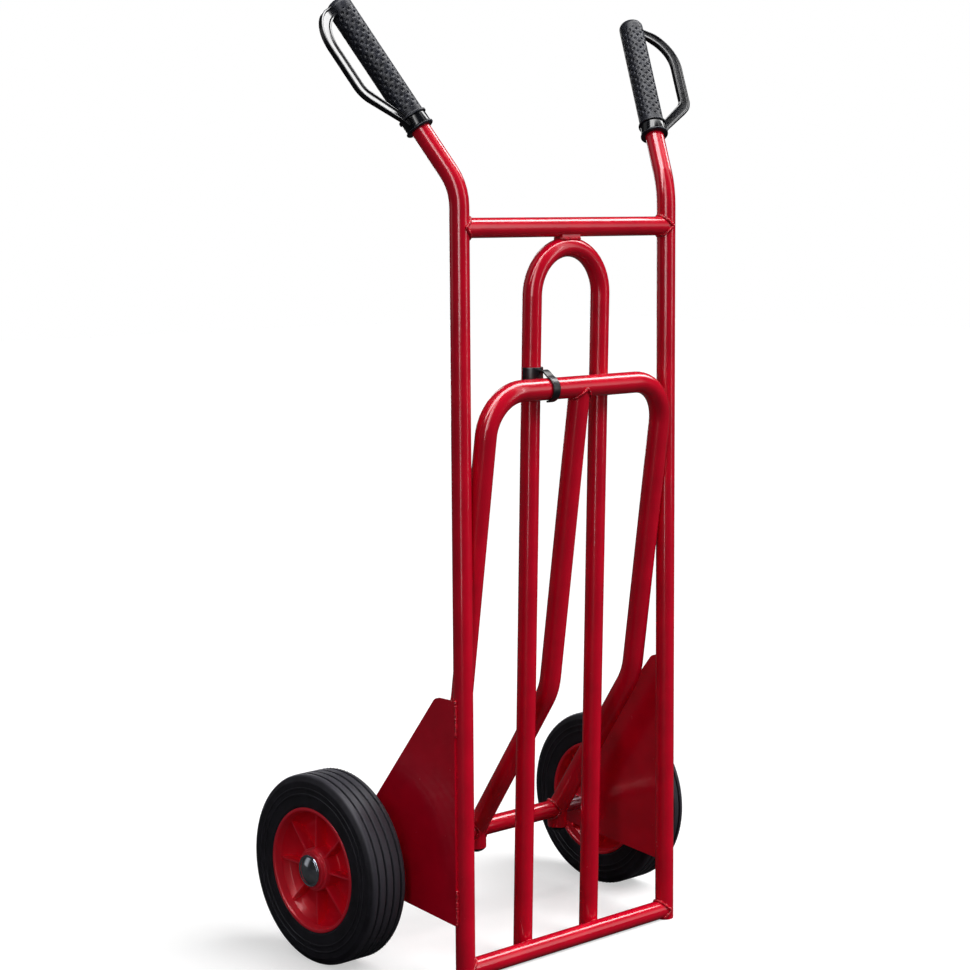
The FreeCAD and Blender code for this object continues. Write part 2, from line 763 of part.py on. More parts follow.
def leg_rods(extra=0.0):
    """The left, middle and right legs near the axle as solid rods."""
    path = rounded_path([TAIL, AXLE, ELBOW], [size("toe_tail_radius")])
    rods = []
    for across in (-HALF_TOE, 0, HALF_TOE):
        rod = swept(path, R_TOE + extra)
        rod.translate(Vector(across, 0, 0))
        rods.append(rod)
    return rods


def pivot_rod(side, extra=0.0):
    ends = sorted((0, side * HALF_TOE))
    return rod_x(size("pivot_tube_radius") + extra, ends[0], ends[1], AXLE)


def make_pivot_tube(name, side):
    """A sleeve that turns on the axle, saddled between the middle leg and an outer one."""
    tube = pivot_rod(side).cut(axle_bore())
    for rod in leg_rods():
        tube = tube.cut(rod)
    return plain_piece(name, max(tube.Solids, key=lambda solid: solid.Volume))


def make_toe_welds():
    extra = size("weld_bead")
    legs = leg_rods()
    fat_legs = leg_rods(extra)
    beads = []
    for side, pair in ((-1, (0, 1)), (1, (1, 2))):
        for leg in pair:
            beads.append(bead(pivot_rod(side), legs[leg], pivot_rod(side, extra),
                              fat_legs[leg]))
    path = rounded_path([AXLE, ELBOW, CROSS_MEMBER], [size("toe_elbow_radius")])
    beads.append(bead(cross_rod(), swept(path, R_TOE), cross_rod(extra),
                      swept(path, R_TOE + extra)))
    solids = []
    for shape in beads:
        for rod in legs:
            shape = shape.cut(rod)
        solids += shape.Solids
    whole = [solid for solid in solids if solid.Volume > SMALLEST_BEAD]
    return plain_piece("toe_welds", Part.makeCompound(whole))


def make_leg_plug(name, across):
    """A domed plug in a leg's open end; local Z points out of the tube."""
    body = new_body(name)
    section = new_sketch(body, "section", "XZ_Plane")
    stem = "Sizes.toe_radius - Sizes.toe_wall"
    dome = size("plug_dome")
    spots = [Vector(0, dome, 0), Vector(0, -size("plug_depth"), 0),
             Vector(value_of(stem), -size("plug_depth"), 0), Vector(value_of(stem), 0, 0),
             Vector(R_TOE, 0, 0)]
    lines = [section.addGeometry(Part.LineSegment(a, b)) for a, b in zip(spots, spots[1:])]
    bulge = (R_TOE ** 2 + dome ** 2) / (2 * dome)
    spread = math.asin(R_TOE / bulge)
    arc = section.addGeometry(Part.ArcOfCircle(
        Part.Circle(Vector(0, dome - bulge, 0), Vector(0, 0, 1), bulge),
        math.pi / 2 - spread, math.pi / 2))
    for line, following in zip(lines, lines[1:]):
        section.addConstraint(Sketcher.Constraint("Coincident", line, 2, following, 1))
    section.addConstraint(Sketcher.Constraint("Coincident", lines[-1], 2, arc, 1))
    section.addConstraint(Sketcher.Constraint("Coincident", arc, 2, lines[0], 1))
    bind_point(section, lines[0], 1, "0", "Sizes.plug_dome")
    bind_point(section, lines[1], 1, "0", "-Sizes.plug_depth")
    bind_point(section, lines[2], 1, stem, "-Sizes.plug_depth")
    bind_point(section, lines[3], 1, stem, "0")
    bind_point(section, lines[3], 2, "Sizes.toe_radius", "0")
    section.addConstraint(Sketcher.Constraint("PointOnObject", arc, 3, -2))
    revolve(body, section)
    return finish(body, Placement(at_x(TAIL, across), Rotation(Vector(1, 0, 0), 180)))


# ---------------------------------------------------------------- strap clip

def make_toe_clip():
    """A strap hooked round the cross member, with a saddle over the hoop's rail."""
    thick = size("clip_thickness")
    width = size("clip_strip_width")
    middle = size("clip_strip_offset")
    inner = R_TOE + size("clip_gap")
    first = size("clip_wrap_start")
    wrap = size("clip_wrap_end") - first
    start = Vector(middle - width / 2, CROSS_MEMBER.y, CROSS_MEMBER.z)
    hook = Part.makeCylinder(inner + thick, width, start, Vector(1, 0, 0), wrap)
    hook = hook.cut(Part.makeCylinder(inner, width, start, Vector(1, 0, 0), wrap))
    probe = hook.Solids[0].CenterOfMass - start
    present = math.degrees(math.atan2(probe.z, probe.y))
    hook.rotate(start, Vector(1, 0, 0), first + wrap / 2 - present)
    height = size("clip_band_height")
    low = size("clip_band_middle") - height / 2
    rail = Vector(-size("hoop_half_width"), hoop_back(size("clip_band_middle")), low)
    lean = Rotation(Vector(1, 0, 0), HOOP_LEAN).multVec(Vector(0, 0, 1))
    rail_inner = R_TUBE + size("clip_gap")
    band = Part.makeCylinder(rail_inner + thick, height, rail, lean)
    band = band.cut(Part.makeCylinder(rail_inner, height, rail, lean))
    reach = 2 * (rail_inner + thick)
    front = Part.makeBox(2 * reach, reach, 2 * height,
                         rail - Vector(reach, reach, height / 2))
    band = band.common(front)
    bridge_top = low + height
    gap_front = rail.y - rail_inner
    bridge = Part.makeBox(width, gap_front - CROSS_MEMBER.y, thick,
                          Vector(start.x, CROSS_MEMBER.y, CROSS_MEMBER.z + inner))
    upstand = Part.makeBox(width, thick, bridge_top - CROSS_MEMBER.z - inner,
                           Vector(start.x, gap_front - thick, CROSS_MEMBER.z + inner))
    clear_rail = Part.makeCylinder(rail_inner, 6 * height, rail - lean * 2 * height, lean)
    clear_bar = Part.makeCylinder(inner, 6 * width, start - Vector(3 * width, 0, 0),
                                  Vector(1, 0, 0))
    strap = hook.fuse([band, bridge, upstand]).cut(clear_rail).cut(clear_bar)
    whole = max(strap.removeSplitter().Solids, key=lambda solid: solid.Volume)
    return plain_piece("toe_clip", whole)


# ---------------------------------------------------------------- grips and guards

def grip_outline(body, bore):
    """Half the grip's section: two collars with a neck between them, then the hand part."""
    sketch = new_sketch(body, "grip_section", "XZ_Plane")
    low = "Sizes.grip_start"
    thick = "Sizes.collar_thickness"
    upper = f"{low} + Sizes.collar_spacing"
    crown = "Sizes.grip_crown"
    radius = "Sizes.grip_radius"
    outline = [
        ("Sizes.collar_radius", low),
        ("Sizes.collar_radius", f"{low} + {thick}"),
        ("Sizes.grip_neck_radius", f"{low} + {thick}"),
        ("Sizes.grip_neck_radius", upper),
        ("Sizes.collar_radius", upper),
        ("Sizes.collar_radius", f"{upper} + {thick}"),
        (radius, f"{upper} + {thick}"),
        (radius, f"Sizes.grip_end - {crown}"),
        (f"{radius} - 0.3 * {crown}", f"Sizes.grip_end - 0.3 * {crown}"),
        (f"{radius} - {crown}", "Sizes.grip_end"),
        ("0", "Sizes.grip_end")]
    if bore:
        outline += [("0", "Sizes.handle_tube_reach"),
                    ("Sizes.tube_radius", "Sizes.handle_tube_reach"),
                    ("Sizes.tube_radius", low)]
    else:
        outline.append(("0", low))
    add_outline(sketch, outline)
    return sketch


def make_grip(name, side):
    body = new_body(name)
    revolve(body, grip_outline(body, True))
    return finish(body, handle_place(side))


def guard_path():
    """Foot, knee, shoulder and head of the D, with rounded knee and shoulder."""
    corners = [Vector(size("guard_root"), size("guard_foot"), 0),
               Vector(size("guard_reach"), size("guard_knee"), 0),
               Vector(size("guard_reach"), size("guard_shoulder"), 0),
               Vector(size("guard_root"), size("guard_head"), 0)]
    radii = [size("guard_knee_radius"), size("guard_shoulder_radius")]
    return corners, radii


def guard_band(half_width, thickness):
    """The D as a flat band of the given half width, in the local XZ plane."""
    corners, radii = guard_path()
    upright = [Vector(spot.x, 0, spot.y) for spot in corners]
    path = rounded_path(upright, radii)
    half = thickness / 2
    edge = path.Edges[0]
    start = edge.valueAt(edge.FirstParameter)
    heading = edge.tangentAt(edge.FirstParameter)
    across = heading.cross(Vector(0, 1, 0))
    spots = [start + across * sx * half_width + Vector(0, sy * half, 0)
             for sx, sy in ((1, 1), (1, -1), (-1, -1), (-1, 1), (1, 1))]
    section = Part.makePolygon(spots)
    return path.makePipeShell([section], True, False)


def grip_core():
    """The grip's outer shape as a plain solid about local Z."""
    low = size("grip_start")
    top = size("grip_end")
    crown = size("grip_crown")
    thick = size("collar_thickness")
    upper = low + size("collar_spacing")
    hand = Part.makeCylinder(size("grip_radius"), top - crown - upper, Vector(0, 0, upper))
    neck = Part.makeCylinder(size("grip_neck_radius"), upper - low, Vector(0, 0, low))
    wide = size("grip_radius")
    waist = wide - 0.3 * crown
    parts = [neck,
             Part.makeCone(wide, waist, 0.7 * crown, Vector(0, 0, top - crown)),
             Part.makeCone(waist, wide - crown, 0.3 * crown, Vector(0, 0, top - 0.3 * crown))]
    for start in (low, upper):
        parts.append(Part.makeCylinder(size("collar_radius"), thick, Vector(0, 0, start)))
    return hand.fuse(parts)


def make_knuckle_guard(name, side):
    """A flat D of I section: a ring round the grip's neck, and a head butted to its side."""
    band = guard_band(size("guard_width") / 2, size("guard_thickness"))
    depth = (size("guard_thickness") - size("guard_web")) / 2
    trench = guard_band(size("guard_width") / 2 - size("guard_rim"), depth)
    offset = (size("guard_web") + depth) / 2
    for sign in (-1, 1):
        cutter = trench.copy()
        cutter.translate(Vector(0, sign * offset, 0))
        band = band.cut(cutter)
    gap = size("guard_ring_gap")
    low = size("grip_start") + size("collar_thickness") + gap
    high = size("grip_start") + size("collar_spacing") - gap
    ring = Part.makeCylinder(size("collar_radius") - size("guard_ring_lip"), high - low,
                             Vector(0, 0, low))
    guard = band.fuse(ring).cut(grip_core()).cut(
        Part.makeCylinder(size("grip_neck_radius"), high - low, Vector(0, 0, low)))
    solid = max(guard.Solids, key=lambda item: item.Volume)
    piece = doc.addObject("Part::Feature", name)
    piece.Label = name
    piece.Shape = solid
    turn = Placement(Vector(), Rotation(Vector(0, 0, 1), -side * size("guard_turn")))
    return finish(piece, handle_place(side).multiply(turn))


# ---------------------------------------------------------------- assembly

SIDES = (("left", -1), ("right", 1))

for word, side in SIDES:
    make_upright(f"{word}_upright", side)
    make_side_plate(f"{word}_side_plate", side)
    make_spacer(f"{word}_wheel_spacer", side)
    make_washer(f"{word}_axle_washer", side)
    make_axle_cap(f"{word}_axle_cap", side)
    make_grip(f"{word}_grip", side)
    make_knuckle_guard(f"{word}_knuckle_guard", side)
    make_tyre(f"{word}_tyre", side)
    make_rim(f"{word}_rim", side)
    make_bush(f"{word}_bush", side)
    make_pivot_tube(f"{word}_pivot_tube", side)
make_crossbar("top_crossbar", size("top_crossbar_height"))
make_crossbar("bottom_crossbar", R_TUBE)
make_inner_hoop()
make_hoop_stub()
make_frame_welds()
make_axle_rod()
make_toe_hoop()
make_toe_middle_leg()
make_toe_welds()
for word, across in (("left", -HALF_TOE), ("middle", 0), ("right", HALF_TOE)):
    make_leg_plug(f"{word}_leg_plug", across)
make_toe_clip()

doc.recompute()
for item in doc.Objects:
    if {"Invalid", "Error"} & set(item.State):
        raise RuntimeError(f"{item.Label} failed: {item.State}")
for piece in pieces:
    if piece.Shape.isNull() or not piece.Shape.isValid() or not piece.Shape.Solids:
        raise RuntimeError(f"{piece.Label} has no valid solid")
os.makedirs("parts", exist_ok=True)
for piece in pieces:
    piece.Shape.exportStep(f"parts/{piece.Label}.step")
    box = piece.Shape.BoundBox
    print(f"{piece.Label:22s} {len(piece.Shape.Solids):3d} solids {piece.Shape.Volume:12.1f} mm3",
          [round(v, 1) for v in (box.XMin, box.XMax, box.YMin, box.YMax, box.ZMin, box.ZMax)])
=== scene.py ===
"""Looks of a folding-toe hand truck, laid out as a Blender add-on and run as a script."""
import json
import math
from functools import partial

import bmesh
import bpy
import numpy as np
from bpy.props import BoolProperty, FloatProperty, FloatVectorProperty, IntProperty
from bpy.props import PointerProperty
from mathutils import Matrix, Vector


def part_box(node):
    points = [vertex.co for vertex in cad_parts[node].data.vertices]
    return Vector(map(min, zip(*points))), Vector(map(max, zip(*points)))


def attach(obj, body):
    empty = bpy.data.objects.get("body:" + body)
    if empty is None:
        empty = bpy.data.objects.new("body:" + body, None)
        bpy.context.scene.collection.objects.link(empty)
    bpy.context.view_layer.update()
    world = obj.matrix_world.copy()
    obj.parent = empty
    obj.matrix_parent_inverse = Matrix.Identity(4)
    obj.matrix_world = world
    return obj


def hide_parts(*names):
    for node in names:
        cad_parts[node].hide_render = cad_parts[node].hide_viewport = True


bl_info = {
    "name": "Hand Truck Looks",
    "version": (1, 0, 0),
    "blender": (4, 5, 0),
    "location": "3D View > Sidebar > Hand Truck",
    "description": "Finishes and moulded detail for a folding-toe hand truck",
    "category": "Object",
}

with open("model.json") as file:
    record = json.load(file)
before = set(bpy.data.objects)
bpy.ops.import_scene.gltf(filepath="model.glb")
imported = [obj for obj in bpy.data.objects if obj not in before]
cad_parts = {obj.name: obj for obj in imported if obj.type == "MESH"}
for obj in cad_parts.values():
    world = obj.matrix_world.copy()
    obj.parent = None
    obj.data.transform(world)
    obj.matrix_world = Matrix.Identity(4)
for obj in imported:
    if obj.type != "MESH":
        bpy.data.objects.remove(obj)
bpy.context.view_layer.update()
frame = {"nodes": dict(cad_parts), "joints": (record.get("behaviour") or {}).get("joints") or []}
MM = 0.001
SIDES = (("left", -1), ("right", 1))
RED_NODES = ("left_upright", "right_upright", "top_crossbar", "bottom_crossbar", "inner_hoop",
             "hoop_stub", "left_side_plate", "right_side_plate", "toe_hoop", "toe_middle_leg",
             "left_pivot_tube", "right_pivot_tube")
STEEL_NODES = ("axle_rod", "left_wheel_spacer", "right_wheel_spacer", "left_axle_washer",
               "right_axle_washer")


# ------------------------------------------------------------------ places read from the frame

def middle(node):
    """The centre of a node's box."""
    low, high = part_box(node)
    return (low + high) / 2


def joint_place(name):
    """A point on a joint's axis."""
    return Vector(next(item for item in frame["joints"] if item["name"] == name)["pos_m"])


def tube_radius(node):
    """Half the height of a level tube."""
    low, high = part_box(node)
    return (high.z - low.z) / 2


def grip_place(side_name, side):
    """A frame at the grip's lower end: Z along the handle, X outward."""
    mesh = frame["nodes"][f"{side_name}_grip"].data
    points = np.array([vertex.co for vertex in mesh.vertices])
    centre = points.mean(0)
    along = np.linalg.svd(points - centre, full_matrices=False)[2][0]
    along = Vector(along * (1 if along[2] > 0 else -1)).normalized()
    outward = Vector((side, 0, 0)) - along * (side * along.x)
    outward.normalize()
    reach = (points - centre) @ np.array(along)
    start = Vector(centre) + along * reach.min()
    across = along.cross(outward)
    turn = Matrix((outward, across, along)).transposed().to_4x4()
    return Matrix.Translation(start) @ turn, reach.max() - reach.min()


# ------------------------------------------------------------------ mesh helpers

def finish_mesh(name, vertices, faces, material, body, smooth=40, place=None):
    """A closed mesh with outward faces, in the shared frame, riding on a body."""
    mesh = bpy.data.meshes.new(name)
    mesh.from_pydata([tuple(vertex) for vertex in vertices], [], faces)
    if place is not None:
        mesh.transform(place)
    work = bmesh.new()
    work.from_mesh(mesh)
    bmesh.ops.remove_doubles(work, verts=work.verts, dist=1e-6)
    bmesh.ops.dissolve_degenerate(work, edges=work.edges, dist=1e-7)
    bmesh.ops.recalc_face_normals(work, faces=work.faces)
    work.to_mesh(mesh)
    work.free()
    return adopt(name, mesh, material, body, smooth)


def adopt(name, mesh, material, body, smooth=40):
    """Makes a finished mesh a piece of the truck, riding on a body."""
    mesh.shade_smooth()
    mesh.set_sharp_from_angle(angle=math.radians(smooth))
    mesh.materials.clear()
    mesh.materials.append(material)
    piece = bpy.data.objects.new(name, mesh)
    bpy.context.scene.collection.objects.link(piece)
    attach(piece, body)
    return piece


def rounded(outline, radius, steps=5):
    """A closed outline whose corners are arcs, as far as the sides beside them allow."""
    result = []
    count = len(outline)
    for index, corner in enumerate(outline):
        here = Vector(corner[:2])
        before = Vector(outline[index - 1][:2])
        after = Vector(outline[(index + 1) % count][:2])
        wanted = corner[2] if len(corner) > 2 else radius
        arriving = (here - before).normalized()
        leaving = (after - here).normalized()
        turn = arriving.angle(leaving)
        if turn < 0.02 or wanted <= 0:
            result.append(here)
            continue
        limit = 0.48 * min((here - before).length, (after - here).length)
        reach = min(wanted * math.tan(turn / 2), limit)
        for step in range(steps + 1):
            share = step / steps
            first = here - arriving * reach * (1 - share)
            second = here + leaving * reach * share
            result.append(first.lerp(second, share))
    return result


def band_faces(near, far, count):
    """Quads between two rings of vertices."""
    return [(near + index, near + (index + 1) % count, far + (index + 1) % count, far + index)
            for index in range(count)]


def lathe(outline, segments):
    """Turns an (x, radius) outline about X; radii at zero close on the axis."""
    vertices, faces = [], []
    count = len(outline)
    for step in range(segments):
        angle = 2 * math.pi * step / segments
        for across, radius in outline:
            vertices.append((across, radius * math.cos(angle), radius * math.sin(angle)))
    for step in range(segments):
        faces += band_faces(step * count, ((step + 1) % segments) * count, count)
    return vertices, faces


def turned(outline, segments, place):
    """A lathe along the place's local Z."""
    vertices, faces = lathe(outline, segments)
    upright = place @ Matrix(((0, 1, 0, 0), (0, 0, 1, 0), (1, 0, 0, 0), (0, 0, 0, 1)))
    return [upright @ Vector(vertex) for vertex in vertices], faces


def rounded_route(corners, radii, spacing):
    """Points along straight runs joined by arcs, with the directions there."""
    points = [corners[0]]
    for index, radius in enumerate(radii, start=1):
        here = corners[index]
        arriving = (here - corners[index - 1]).normalized()
        leaving = (corners[index + 1] - here).normalized()
        turn = arriving.angle(leaving)
        reach = radius * math.tan(turn / 2)
        inward = (leaving - arriving).normalized()
        centre = here + inward * (radius / math.cos(turn / 2))
        start = here - arriving * reach - centre
        axis = arriving.cross(leaving).normalized()
        steps = max(4, round(radius * turn / spacing))
        for step in range(steps + 1):
            points.append(centre + Matrix.Rotation(turn * step / steps, 3, axis) @ start)
    points.append(corners[-1])
    return points


def sweep(points, section, normal):
    """A closed section carried along points in a plane with that normal."""
    vertices, faces = [], []
    count = len(section)
    for index, point in enumerate(points):
        before = points[max(index - 1, 0)]
        after = points[min(index + 1, len(points) - 1)]
        heading = (after - before).normalized()
        across = heading.cross(normal).normalized()
        vertices += [point + across * side + normal * up for side, up in section]
    for ring in range(len(points) - 1):
        faces += band_faces(ring * count, (ring + 1) * count, count)
    faces.append(tuple(range(count)))
    last = (len(points) - 1) * count
    faces.append(tuple(range(last + count - 1, last - 1, -1)))
    return vertices, faces


def solid_box(half_x, half_y, half_z):
    """A box centred on the origin."""
    corners = [(x, y, z) for x in (-half_x, half_x) for y in (-half_y, half_y)
               for z in (-half_z, half_z)]
    faces = [(0, 1, 3, 2), (4, 6, 7, 5), (0, 4, 5, 1), (2, 3, 7, 6), (0, 2, 6, 4), (1, 5, 7, 3)]
    return corners, faces


# ------------------------------------------------------------------ material helpers

def srgb(code, alpha=1.0):
    """A hex colour as linear values."""
    channels = [int(code[index:index + 2], 16) / 255 for index in (1, 3, 5)]
    linear = [value / 12.92 if value <= 0.04045 else ((value + 0.055) / 1.055) ** 2.4
              for value in channels]
    return (*linear, alpha)


def add_node(tree, kind, settings=None, links=None):
    """Adds a node, sets its properties or sockets, and links sockets into it."""
    node = tree.nodes.new(kind)
    for name, value in (settings or {}).items():
        if isinstance(name, str) and hasattr(node, name):
            setattr(node, name, value)
        else:
            node.inputs[name].default_value = value
    for name, socket in (links or {}).items():
        tree.links.new(socket, node.inputs[name])
    return node


def maths(tree, operation, first, second=None):
    """A Math node fed by sockets or numbers."""
    node = add_node(tree, "ShaderNodeMath", {"operation": operation})
    for index, value in enumerate((first, second)):
        if value is None:
            continue
        if isinstance(value, (int, float)):
            node.inputs[index].default_value = value
        else:
            tree.links.new(value, node.inputs[index])
    return node.outputs[0]


def vector_step(tree, operation, first, second=None):
    """A Vector Math node on one socket, with a fixed vector beside it if wanted."""
    node = add_node(tree, "ShaderNodeVectorMath", {"operation": operation}, {0: first})
    if second is not None:
        node.inputs[1].default_value = second
    return node


def overlay(tree, shader, ramp, code, measure, span):
    """Blends the base colour toward a hex colour as a measure passes through a span."""
    share = add_node(tree, "ShaderNodeMapRange", span, {"Value": measure})
    mix = add_node(tree, "ShaderNodeMix", {"data_type": "RGBA"},
                   {"Factor": share.outputs["Result"]})
    tree.links.new(ramp.outputs["Color"], mix.inputs[6])
    mix.inputs[7].default_value = srgb(code)
    tree.links.new(mix.outputs[2], shader.inputs["Base Color"])


def new_material(name, settings):
    """A material with one Principled shader and the Object coordinates to pattern it."""
    material = bpy.data.materials.new(name)
    material.use_nodes = True
    tree = material.node_tree
    tree.nodes.clear()
    shader = add_node(tree, "ShaderNodeBsdfPrincipled", settings)
    add_node(tree, "ShaderNodeOutputMaterial", links={"Surface": shader.outputs[0]})
    place = add_node(tree, "ShaderNodeTexCoord").outputs["Object"]
    return material, tree, shader, place


def grain(tree, place, size_mm, detail=3.0):
    """Noise whose grains are about this many millimetres across."""
    return add_node(tree, "ShaderNodeTexNoise", {"Scale": 1 / (size_mm * MM), "Detail": detail},
                    {"Vector": place})


def tint(tree, shader, factor, dark, light):
    """Drifts the base colour between two hex values."""
    ramp = add_node(tree, "ShaderNodeValToRGB", links={"Fac": factor})
    for element, position, code in zip(ramp.color_ramp.elements, (0.35, 0.65), (dark, light)):
        element.position = position
        element.color = srgb(code)
    tree.links.new(ramp.outputs["Color"], shader.inputs["Base Color"])
    return ramp


def roughen(tree, shader, factor, low, high):
    """Lets the roughness drift between two values."""
    span = add_node(tree, "ShaderNodeMapRange", {"To Min": low, "To Max": high},
                    {"Value": factor})
    tree.links.new(span.outputs["Result"], shader.inputs["Roughness"])


def bump(tree, shader, height, strength, depth_mm):
    """Relief too fine to model."""
    node = add_node(tree, "ShaderNodeBump",
                    {"Strength": strength, "Distance": depth_mm * MM}, {"Height": height})
    tree.links.new(node.outputs["Normal"], shader.inputs["Normal"])


def patterned(name, shine, colours, gloss=None, relief=None):
    """A material whose colour, gloss and relief each drift over grains sized in millimetres."""
    material, tree, shader, place = new_material(name, shine)
    factors = [grain(tree, place, *part[0]).outputs["Fac"] if part else None
               for part in (colours, gloss, relief)]
    ramp = tint(tree, shader, factors[0], *colours[1:])
    if gloss:
        roughen(tree, shader, factors[1], *gloss[1:])
    if relief:
        bump(tree, shader, factors[2], *relief[1:])
    return material, tree, shader, place, ramp


# ------------------------------------------------------------------ materials

def red_enamel(colour):
    """Stoved gloss enamel on steel tube: deep, wet-looking, with a faint orange peel."""
    shine = {"Roughness": 0.3, "IOR": 1.5, "Coat Weight": 0.6, "Coat Roughness": 0.06,
             "Coat IOR": 1.5, "Specular IOR Level": 0.3}
    material, *_, ramp = patterned("red_enamel", shine, ((45, 2), "#a00418", "#b8061c"),
                                   ((8,), 0.2, 0.3), ((2.6, 2), 0.1, 0.12))
    ramp.color_ramp.elements[0].color = (*(channel * 0.84 for channel in colour[:3]), 1)
    ramp.color_ramp.elements[1].color = (*colour[:3], 1)
    return material


def weld_enamel(colour):
    """The same enamel over weld metal: lumpier, so it breaks the light up."""
    shine = {"Roughness": 0.36, "IOR": 1.5, "Coat Weight": 0.25, "Coat Roughness": 0.2,
             "Specular IOR Level": 0.3}
    material, *_, ramp = patterned("enamel_over_weld", shine, ((5,), "#8c0414", "#b0061a"),
                                   relief=((1.2,), 0.35, 0.3))
    ramp.color_ramp.elements[1].color = (*colour[:3], 1)
    return material


def wheel_polypropylene(colour):
    """Injection moulded polypropylene: semi-gloss red, with a painted highlight: its proud faces
    are painted paler.
    """
    shine = {"Roughness": 0.36, "IOR": 1.49, "Coat Weight": 0.15, "Coat Roughness": 0.12,
             "Specular IOR Level": 0.2}
    material, tree, shader, place, ramp = patterned(
        "moulded_polypropylene", shine, ((60, 1), "#cc0a24", "#d60c26"),
        ((40, 1), 0.34, 0.4), ((20, 1), 0.02, 0.1))
    ramp.color_ramp.elements[1].color = (*colour[:3], 1)
    across = add_node(tree, "ShaderNodeSeparateXYZ", links={"Vector": place}).outputs["X"]
    offset = maths(tree, "SUBTRACT", maths(tree, "ABSOLUTE", across), middle("right_tyre").x)
    # Painted highlight: the rib tops and the wheel's outer faces, from about 19 mm out of its
    # middle plane, are blended toward a paler red.
    overlay(tree, shader, ramp, "#e23a4a", maths(tree, "ABSOLUTE", offset),
            {"From Min": 18.8 * MM, "From Max": 20.4 * MM, "To Max": 0.4})
    return material


def tyre_rubber():
    """Carbon-black rubber, moulded: near black, dull sheen, with a painted highlight: the tread
    face is painted paler grey.
    """
    material, tree, shader, place, ramp = patterned(
        "moulded_tyre_rubber", {"Roughness": 0.5, "IOR": 1.52, "Specular IOR Level": 0.2},
        ((22,), "#111015", "#1c1b21"), ((10,), 0.4, 0.58), ((0.9,), 0.2, 0.15))
    centre = middle("right_tyre")
    spoke = vector_step(tree, "SUBTRACT", place, (0, centre.y, centre.z))
    radial = vector_step(tree, "MULTIPLY", spoke.outputs[0], (0, 1, 1))
    length = vector_step(tree, "LENGTH", radial.outputs[0])
    # Painted highlight: the outer few millimetres of the tread, ridge tops most, are blended
    # toward a paler grey that stands in for the light falling on them.
    overlay(tree, shader, ramp, "#36353b", length.outputs["Value"], {
        "From Min": centre.z - 4.2 * MM, "From Max": centre.z - 1.0 * MM, "To Max": 0.8})
    return material


def grip_vinyl():
    """Moulded vinyl grip: charcoal with a cool sheen and a fine leathery grain."""
    material, tree, shader, place, _ = patterned(
        "moulded_vinyl_grip", {"Roughness": 0.36, "IOR": 1.53, "Specular IOR Level": 0.22},
        ((14,), "#0f1016", "#1a1c24"), ((5,), 0.34, 0.5))
    cells = add_node(tree, "ShaderNodeTexVoronoi", {"Scale": 1 / (1.1 * MM)},
                     {"Vector": place})
    bump(tree, shader, cells.outputs["Distance"], 0.06, 0.08)
    return material


def guard_nylon():
    """Glossy black moulded nylon: crisp highlights along its rims, faint flow marks."""
    shine = {"Roughness": 0.16, "IOR": 1.53, "Coat Weight": 0.2, "Coat Roughness": 0.06,
             "Specular IOR Level": 0.3}
    return patterned("gloss_black_nylon", shine, ((18,), "#08080b", "#101116"),
                     ((7,), 0.11, 0.24), ((3,), 0.05, 0.1))[0]


def strap_rubber():
    """Flexible black rubber strap: satin, with a fine drawn grain."""
    return patterned("strap_rubber", {"Roughness": 0.35, "IOR": 1.52},
                     ((9,), "#0a0b0e", "#15171c"), ((4,), 0.26, 0.42), ((1.0,), 0.12, 0.1))[0]


def chrome_plate():
    """Bright chrome on a pressed cap: mirror-like, with the slight haze of handling."""
    return patterned("chrome_plate", {"Metallic": 1.0, "Roughness": 0.1},
                     ((12,), "#a3a9b6", "#ccd0d8"), ((3,), 0.06, 0.2), ((6,), 0.05, 0.1))[0]


def zinc_plate():
    """Bright zinc on turned steel: satin, with fine rings from the lathe."""
    material, tree, shader, place, _ = patterned(
        "zinc_plated_steel", {"Metallic": 1.0, "Roughness": 0.32},
        ((7,), "#8d9096", "#b4b7bc"))
    rings = add_node(tree, "ShaderNodeTexWave",
                     {"wave_type": "BANDS", "bands_direction": "X", "Scale": 1 / (3 * MM),
                      "Distortion": 0.4}, {"Vector": place})
    roughen(tree, shader, rings.outputs["Fac"], 0.24, 0.4)
    bump(tree, shader, rings.outputs["Fac"], 0.08, 0.05)
    return material


def bush_nylon():
    """Dark self-coloured nylon sleeve, dull where it runs."""
    return patterned("nylon_sleeve", {"Roughness": 0.5, "IOR": 1.53},
                     ((6,), "#141414", "#222222"), relief=((0.8,), 0.1, 0.1))[0]


# ------------------------------------------------------------------ geometry node trees

def new_geometry_tree(name, inputs):
    """A tree with a geometry input and output, and named inputs for its sizes."""
    tree = bpy.data.node_groups.new(name, "GeometryNodeTree")
    tree.interface.new_socket("Geometry", in_out="INPUT", socket_type="NodeSocketGeometry")
    tree.interface.new_socket("Geometry", in_out="OUTPUT", socket_type="NodeSocketGeometry")
    for label, kind, default in inputs:
        socket = tree.interface.new_socket(label, in_out="INPUT", socket_type=kind)
        if default is not None:
            socket.default_value = default
    start = tree.nodes.new("NodeGroupInput")
    return tree, start


def end_tree(tree, start, geometry, smooth=True):
    """Realizes what the tree made, gives it its material and puts it out."""
    real = add_node(tree, "GeometryNodeRealizeInstances", links={"Geometry": geometry})
    shade = add_node(tree, "GeometryNodeSetShadeSmooth", {"Shade Smooth": smooth},
                     {"Geometry": real.outputs[0]})
    paint = add_node(tree, "GeometryNodeSetMaterial", links={
        "Geometry": shade.outputs[0], "Material": start.outputs["Material"]})
    add_node(tree, "NodeGroupOutput", links={"Geometry": paint.outputs[0]})
    return tree


